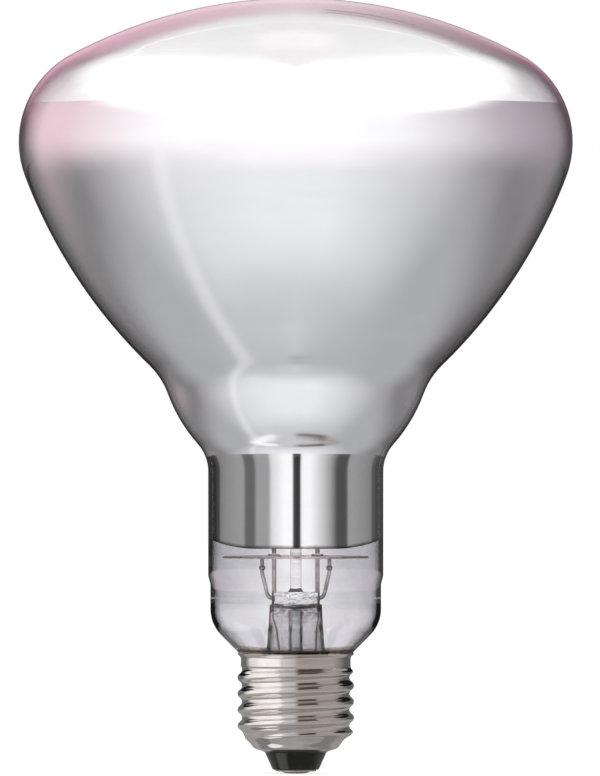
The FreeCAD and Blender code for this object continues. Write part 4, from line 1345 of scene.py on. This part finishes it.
class HEATLAMP_OT_filament(bpy.types.Operator):
    """Wind the filament and hang it on its support wires"""

    bl_idname = "heatlamp.filament"
    bl_label = "Filament and supports"

    def execute(self, context):
        scene = context.scene
        wires, stem, levels = scene.lamp_wires, scene.lamp_stem, Levels(scene)
        ring, gap = wires.ring_width / 2, wires.ring_gap
        coil = (wires.coil_width - wires.coil_wire) / 2
        start, span = gap / 2 - math.radians(90), TURN - gap
        count = wires.coil_turns * 14
        points = []
        for i in range(count + 1):
            at, wind = start + span * i / count, TURN * wires.coil_turns * i / count
            reach = ring + coil * math.cos(wind)
            height = levels.ring + coil * math.sin(wind)
            points.append(Vector((reach * math.cos(at), reach * math.sin(at), height)))
        bm = bmesh.new()
        sweep(bm, points, wires.coil_wire / 2, 6)
        tungsten = metal("wire_tungsten", scene.lamp_finish.tungsten, (0.08, 0.08, 0.09), 0.5, 0.38, 3.0)
        finish_piece("filament_coiled", bm, tungsten, ["filament"], 80)

        grey = metal("wire_molybdenum", scene.lamp_finish.molybdenum, (0.15, 0.14, 0.14), 0.4, 0.3, 3.0)
        button, middle, bend = stem.button_width / 2, levels.press + stem.rod_height, wires.bend
        step = (TURN - gap - 2 * GRIP) / (wires.supports + 1)
        for place in range(1, wires.supports + 1):
            at = start + GRIP + step * place
            points = [
                (button - 1.3 * MM, middle),
                (button + 1.1 * bend, middle),
                (ring - 1.5 * bend, levels.ring),
                (ring, levels.ring),
            ]
            bm = bmesh.new()
            path = looped(points, [bend, bend], wires.coil_width, wires.support_width)
            sweep(bm, upright(path, (0, 0), on_ring(wires, at)), wires.support_width / 2, 12)
            finish_piece(f"support_wire_{place}_bent", bm, grey, [f"support_wire_{place}"])
        return {"FINISHED"}


# What bright faces see of the studio. Each stop is an azimuth in degrees, from behind (-180)
# past the camera (0), and a grey tone or a colour.
ROSE, BLUSH, DEEP_ROSE, WINE = (0.75, 0.57, 0.62), (0.8, 0.65, 0.7), (0.7, 0.4, 0.5), (0.3, 0.15, 0.2)
MAUVE, DUSK, DIM = (0.45, 0.4, 0.44), (0.3, 0.25, 0.28), (0.09, 0.07, 0.08)
TAUPE, SAND, BROWN = (0.34, 0.31, 0.3), (0.37, 0.35, 0.34), (0.08, 0.06, 0.05)
WALLS = [(-135, ROSE), (-115, ROSE), (-60, 0.93), (0, 0.98), (45, 0.9), (100, MAUVE), (145, DUSK)]
SKY_DOWN = [(-180, 0.35), (-90, 0.5), (0, 0.58), (90, 0.45), (180, 0.35)]
SKY_LOW = [
    (-180, 0.2), (-160, 0.4), (-100, 0.4), (-60, 0.7), (-20, 0.8), (20, 0.8), (60, 0.6), (90, 0.4),
    (150, 0.4), (180, 0.2),
]
SKY_LEVEL = [
    (-180, 0.02), (-170, 0.02), (-150, 0.2), (-115, 0.2), (-60, 0.75), (-20, 0.9), (20, 0.9), (60, 0.65),
    (90, 0.35), (115, 0.2), (145, 0.2), (170, 0.02), (180, 0.02),
]
SKY_HIGH = [(-180, DIM), (-160, DIM)] + WALLS + [(160, DIM), (180, DIM)]
SKY_CROWN = [(-180, BLUSH), (-172, DEEP_ROSE), (-160, WINE)] + WALLS + [(160, DIM), (170, WINE), (180, BLUSH)]
# Grey cards, two dark stands and a dark slit in front of the bright wall
NECK_BELT = [
    (-180, 0.03), (-130, 0.03), (-127, 0.2), (-78, 0.3), (-75, 0.12), (-60, 0.12), (-57, 0.3), (-38, 0.3),
    (-35, 0.6), (-15, 0.9), (-5, 0.85), (-2.5, 0.04), (5.5, 0.04), (8.5, 0.85), (20, 0.85), (50, 0.3),
    (60, 0.07), (76, 0.07), (79, 0.3), (127, 0.2), (130, 0.07), (180, 0.03),
]
CAP_HIGH = [
    (-180, 0.01), (-105, 0.01), (-90, 0.85), (-60, 0.98), (-30, 0.92), (-24, 0.6), (-3, 0.5), (5, BROWN),
    (37, BROWN), (44, TAUPE), (88, TAUPE), (98, 0.01), (180, 0.01),
]
CAP_LEVEL = [
    (-180, 0.15), (-110, 0.15), (-92, 0.8), (-60, 0.98), (-30, 0.92), (-24, 0.6), (-5, 0.5), (5, TAUPE),
    (70, TAUPE), (92, 0.2), (110, 0.1), (180, 0.15),
]
CAP_LOW = [(-180, 0.25), (-90, SAND), (90, SAND), (180, 0.2)]
CAP_UNDER = [(-180, 0.2), (-92, 0.2), (-82, 0.9), (-45, 0.9), (-34, 0.2), (180, 0.2)]
CAP_FLOOR = [(-180, 0.25), (0, 0.35), (180, 0.25)]
COOL, WARM = (0.96, 0.975, 1.0), (1.0, 0.975, 0.988)
CEILING, CROWN_LIGHT, STREAK = (1.0, 0.99, 1.0), (2.3, 2.26, 2.3), (0.30, 0.17, 0.21)
STRIP_AXIS = (-0.546, 0.788, 0.286)  # at right angles to the slanting strip light

# The cards' rings, as radius and height, and how far they are seen, in millimetres
CAP_BOWL = [(1, -27), (18, -26), (34, -14), (34, 38)]
CAP_GAP, CAP_TOP, CAP_SEEN = 3, (13.7, 0.8), 52
CAP_LAYERS = [
    (0, 0, CAP_FLOOR), (-24.5, -23, CAP_UNDER), (-17, -13, CAP_LOW), (9, 12, CAP_LEVEL), (25, 27, CAP_HIGH),
]
COLLAR_RADIUS, COLLAR_FOOT, COLLAR_TOP, COLLAR_SEEN = 20.9, 49, 71.2, 26
MAT_INNER, MAT_OUTER, MAT_HEIGHT, MAT_SEEN = 20.4, 27, 39.5, 70
BELT_RADIUS, BELT_FOOT, BELT_TOP, BELT_GIRTH, BELT_SEEN = 2000, -60, 112, 25, 3000

FLOOR_RADIUS, FLOOR_GLOW, LAMP_AIM = 8.0, 0.68, 0.09
LAMPS = (
    ("key_left", (-0.9, -1.1, 0.75), 0.9, "key_power"),
    ("key_right", (1.0, -0.9, 0.6), 0.9, "key_power"),
    ("top_soft", (0.1, 0.3, 1.3), 1.2, "top_power"),
)


def compass(tree, turn, stops):
    """A colour read off a list of azimuths in degrees, from the camera's side round to the back."""
    node = new_node(tree, "ShaderNodeValToRGB")
    tree.links.new(maths(tree, "MULTIPLY_ADD", turn, 1 / 360, 0.5), node.inputs[0])
    made = node.color_ramp.elements
    places = [at / 360 + 0.5 for at, tone in stops]
    made[0].position, made[1].position = places[0], places[-1]
    for place in places[1:-1]:
        made.new(place)
    for element, (at, tone) in zip(made, stops):
        element.color = (*tone, 1.0) if hasattr(tone, "__len__") else (tone, tone, tone, 1.0)
    return node.outputs[0]


def bearings(tree, direction):
    """The azimuth from the camera's side and the elevation of a direction, in degrees."""
    x, y, z = axes(tree, direction)
    turn = maths(tree, "DEGREES", maths(tree, "ARCTAN2", x, times(tree, y, -1.0)))
    return turn, maths(tree, "DEGREES", maths(tree, "ARCSINE", z))


def studio_sky(tree, direction):
    """What bright faces see: light walls in front, a dark room behind and tints above."""
    turn, rise = bearings(tree, direction)
    side = maths(tree, "ABSOLUTE", turn)
    level = blend(tree, 1.0, compass(tree, turn, SKY_LEVEL), WARM, "MULTIPLY")
    sky = compass(tree, turn, SKY_DOWN)
    sky = blend(tree, between(tree, rise, -74.0, -52.0), sky, compass(tree, turn, SKY_LOW))
    sky = blend(tree, 1.0, sky, COOL, "MULTIPLY")
    sky = blend(tree, between(tree, rise, -44.0, -22.0), sky, level)
    sky = blend(tree, between(tree, rise, -26.0, 4.0), sky, compass(tree, turn, SKY_HIGH))
    rear = times(tree, between(tree, side, 138.0, 158.0), between(tree, rise, 0.5, -4.5))
    sky = blend(tree, rear, sky, level)
    sky = blend(tree, between(tree, rise, 3.0, 10.0), sky, compass(tree, turn, SKY_CROWN))
    sky = blend(tree, between(tree, rise, 27.0, 36.0), sky, CEILING)
    crown = times(tree, between(tree, side, 174.0, 136.0), between(tree, rise, 24.0, 46.0))
    sky = blend(tree, crown, sky, CROWN_LIGHT)
    streaks = maths(tree, "MAXIMUM", band(tree, rise, 26.0, 0.7), band(tree, rise, 28.6, 0.45))
    sky = blend(tree, times(tree, streaks, band(tree, turn, 174.5, 4.0)), sky, STREAK)
    slant = new_node(tree, "ShaderNodeVectorMath", operation="DOT_PRODUCT")
    tree.links.new(direction, slant.inputs[0])
    slant.inputs[1].default_value = STRIP_AXIS
    strip = between(tree, maths(tree, "ABSOLUTE", slant.outputs["Value"]), 0.085, 0.02)
    left = between(tree, axes(tree, direction)[0], 0.0, -0.2)
    strip = times(tree, strip, left, between(tree, rise, -4.0, -24.0), 0.3)
    return blend(tree, strip, sky, (1.0, 1.0, 1.0))


def show(tree, factor, first, second):
    """Mix two shaders and put the result out."""
    mixed = new_node(tree, "ShaderNodeMixShader")
    for socket, value in zip(mixed.inputs, (factor, first, second)):
        tree.links.new(value, socket)
    tree.links.new(mixed.outputs[0], tree.nodes["Material Output"].inputs["Surface"])


class HEATLAMP_OT_studio(bpy.types.Operator):
    """Set up the floor, the cards, the world, the lamps and the camera"""

    bl_idname = "heatlamp.studio"
    bl_label = "Studio"

    def execute(self, context):
        scene = context.scene
        studio = scene.lamp_studio
        self.make_floor()
        self.make_all_cards(scene, studio)
        self.make_world(scene, studio)
        for name, place, size, power in LAMPS:
            self.make_lamp(scene, name, place, size, getattr(studio, power))
        camera = bpy.data.objects.new("camera", bpy.data.cameras.new("camera"))
        scene.collection.objects.link(camera)
        camera.location = (studio.eye_shift, -studio.distance, studio.eye_height)
        camera.rotation_euler = (math.radians(90), 0, 0)
        camera.data.lens = camera.data.sensor_width * studio.distance / studio.view_height
        camera.data.clip_end = 50
        scene.camera = camera
        scene.view_settings.view_transform = "Standard"
        return {"FINISHED"}

    def make_floor(self):
        material, tree, shader = new_material("floor_paper")
        tooth = between(tree, noise(tree, object_place(tree), 900.0, 3.0), 0.3, 0.7)
        tint = blend(tree, tooth, (0.44, 0.44, 0.44), (0.48, 0.48, 0.48))
        tree.links.new(tint, shader.inputs["Base Color"])
        fill(shader, Roughness=0.9, Specular_IOR_Level=0.0)
        path = new_node(tree, "ShaderNodeLightPath")
        seen = maths(tree, "MAXIMUM", path.outputs["Is Camera Ray"], path.outputs["Is Transmission Ray"])
        glow = new_node(tree, "ShaderNodeEmission")
        tree.links.new(times(tree, seen, FLOOR_GLOW), glow.inputs["Strength"])
        both = new_node(tree, "ShaderNodeAddShader")
        tree.links.new(shader.outputs[0], both.inputs[0])
        tree.links.new(glow.outputs[0], both.inputs[1])
        clear = new_node(tree, "ShaderNodeBsdfTransparent").outputs[0]
        show(tree, bounced(tree, path.outputs["Glossy Depth"]), both.outputs[0], clear)
        bm = bmesh.new()
        bmesh.ops.create_circle(bm, cap_ends=True, segments=96, radius=FLOOR_RADIUS)
        add_object("floor", bm, material)

    def make_all_cards(self, scene, studio):
        """The cards round the cap, close round the neck, under the bulge and far round the neck."""
        bulb, levels = scene.lamp_bulb, Levels(scene)
        bowl = list(CAP_BOWL)
        bowl += [(vertex.r / MM + CAP_GAP, vertex.z / MM) for vertex in glass_outline(bulb, levels)[9:12]]
        bowl += [(CAP_TOP[0], levels.rim / MM + CAP_TOP[1])]
        self.make_cards(studio, "cap_cards", bowl, CAP_LAYERS, CAP_SEEN)
        stops = []
        for turn, tone in NECK_BELT:
            share = bulb.neck_width / 2 / (COLLAR_RADIUS * MM) * math.sin(math.radians(turn / 2))
            stops.append((turn - math.degrees(math.asin(share)), tone))
        collar = [(COLLAR_RADIUS, COLLAR_FOOT), (COLLAR_RADIUS, COLLAR_TOP)]
        self.make_cards(studio, "collar_cards", collar, [(0, 0, stops)], COLLAR_SEEN)
        mat = [(MAT_INNER, MAT_HEIGHT), (MAT_OUTER, MAT_HEIGHT)]
        self.make_cards(studio, "mat_card", mat, [(0, 0, SKY_DOWN)], MAT_SEEN)
        belt, layers = [(BELT_RADIUS, BELT_FOOT), (BELT_RADIUS, BELT_TOP)], [(0, 0, NECK_BELT)]
        self.make_cards(studio, "neck_cards", belt, layers, BELT_SEEN, BELT_RADIUS, BELT_GIRTH)

    def make_cards(self, studio, name, path, layers, furthest, reach=0.0, girth=0.0):
        """A ring of cards with tones stacked by height, seen by bright faces within girth of the axis."""
        material, tree, shader = new_material(name)
        tree.nodes.remove(shader)
        place = object_place(tree)
        turn, height = bearings(tree, place)[0], axes(tree, place)[2]
        tone = compass(tree, turn, layers[0][2])
        for low, high, stops in layers[1:]:
            tone = blend(tree, between(tree, height, low * MM, high * MM), tone, compass(tree, turn, stops))
        glow = new_node(tree, "ShaderNodeEmission")
        glow.inputs["Strength"].default_value = studio.gain
        tree.links.new(tone, glow.inputs["Color"])
        light = new_node(tree, "ShaderNodeLightPath")
        travelled = light.outputs["Ray Length"]
        half_turn = maths(tree, "COSINE", maths(tree, "RADIANS", times(tree, turn, 0.5)))
        nearest = maths(tree, "MULTIPLY_ADD", half_turn, -girth * MM, reach * MM)
        seen = times(
            tree,
            maths(tree, "GREATER_THAN", light.outputs["Glossy Depth"], 0.5),
            new_node(tree, "ShaderNodeNewGeometry").outputs["Backfacing"],
            maths(tree, "GREATER_THAN", travelled, nearest),
            maths(tree, "LESS_THAN", travelled, furthest * MM),
        )
        show(tree, seen, new_node(tree, "ShaderNodeBsdfTransparent").outputs[0], glow.outputs[0])
        bm = bmesh.new()
        skin(bm, [ring_points(r * MM, z * MM, 180) for r, z in path])
        cards = add_object(name, bm, material)
        cards.visible_camera = False
        cards.visible_diffuse = False
        cards.visible_shadow = False

    def make_world(self, scene, studio):
        world = bpy.data.worlds.new("studio")
        scene.world = world
        world.use_nodes = True
        world.cycles.sampling_method = "NONE"
        tree = world.node_tree
        direction = new_node(tree, "ShaderNodeTexCoord").outputs["Generated"]
        path = new_node(tree, "ShaderNodeLightPath")
        sky = new_node(tree, "ShaderNodeVectorMath", operation="SCALE")
        sky.inputs["Scale"].default_value = studio.gain
        tree.links.new(studio_sky(tree, direction), sky.inputs[0])
        glossy, matt = (bounced(tree, path.outputs[kind]) for kind in ("Glossy Depth", "Diffuse Depth"))
        seen = blend(tree, glossy, (1.0, 1.0, 1.0), sky.outputs[0])
        seen = blend(tree, matt, seen, (studio.daylight,) * 3)
        tree.links.new(seen, tree.nodes["Background"].inputs["Color"])

    def make_lamp(self, scene, name, place, size, power):
        light = bpy.data.lights.new(name, "AREA")
        light.shape = "DISK"
        light.size = size
        light.energy = power
        lamp = bpy.data.objects.new(name, light)
        scene.collection.objects.link(lamp)
        lamp.location = place
        aim = Vector((0, 0, LAMP_AIM)) - Vector(place)
        lamp.rotation_euler = aim.to_track_quat("-Z", "Y").to_euler()
        lamp.visible_glossy = False
        lamp.visible_camera = False
        lamp.visible_transmission = False


PIECES = (
    HEATLAMP_OT_glass,
    HEATLAMP_OT_film,
    HEATLAMP_OT_shell,
    HEATLAMP_OT_foot,
    HEATLAMP_OT_seal,
    HEATLAMP_OT_stem,
    HEATLAMP_OT_leads,
    HEATLAMP_OT_shield,
    HEATLAMP_OT_filament,
    HEATLAMP_OT_studio,
)

GROUPS = {
    "lamp_bulb": HEATLAMP_PG_bulb,
    "lamp_cap": HEATLAMP_PG_cap,
    "lamp_stem": HEATLAMP_PG_stem,
    "lamp_wires": HEATLAMP_PG_wires,
    "lamp_finish": HEATLAMP_PG_finish,
    "lamp_studio": HEATLAMP_PG_studio,
}


class HEATLAMP_PT_panel(bpy.types.Panel):
    """Lists the pieces of the heat lamp"""

    bl_idname = "HEATLAMP_PT_panel"
    bl_label = "Heat Lamp"
    bl_space_type = "VIEW_3D"
    bl_region_type = "UI"
    bl_category = "Heat Lamp"

    def draw(self, context):
        for operator in PIECES:
            self.layout.operator(operator.bl_idname)


def register():
    for group in GROUPS.values():
        bpy.utils.register_class(group)
    for name, group in GROUPS.items():
        setattr(bpy.types.Scene, name, PointerProperty(type=group))
    for operator in PIECES:
        bpy.utils.register_class(operator)
    bpy.utils.register_class(HEATLAMP_PT_panel)


def unregister():
    bpy.utils.unregister_class(HEATLAMP_PT_panel)
    for operator in reversed(PIECES):
        bpy.utils.unregister_class(operator)
    for name in GROUPS:
        delattr(bpy.types.Scene, name)
    for group in reversed(list(GROUPS.values())):
        bpy.utils.unregister_class(group)


def main():
    register()
    for operator in PIECES:
        family, action = operator.bl_idname.split(".")
        getattr(getattr(bpy.ops, family), action)()


if __name__ == "__main__":
    main()
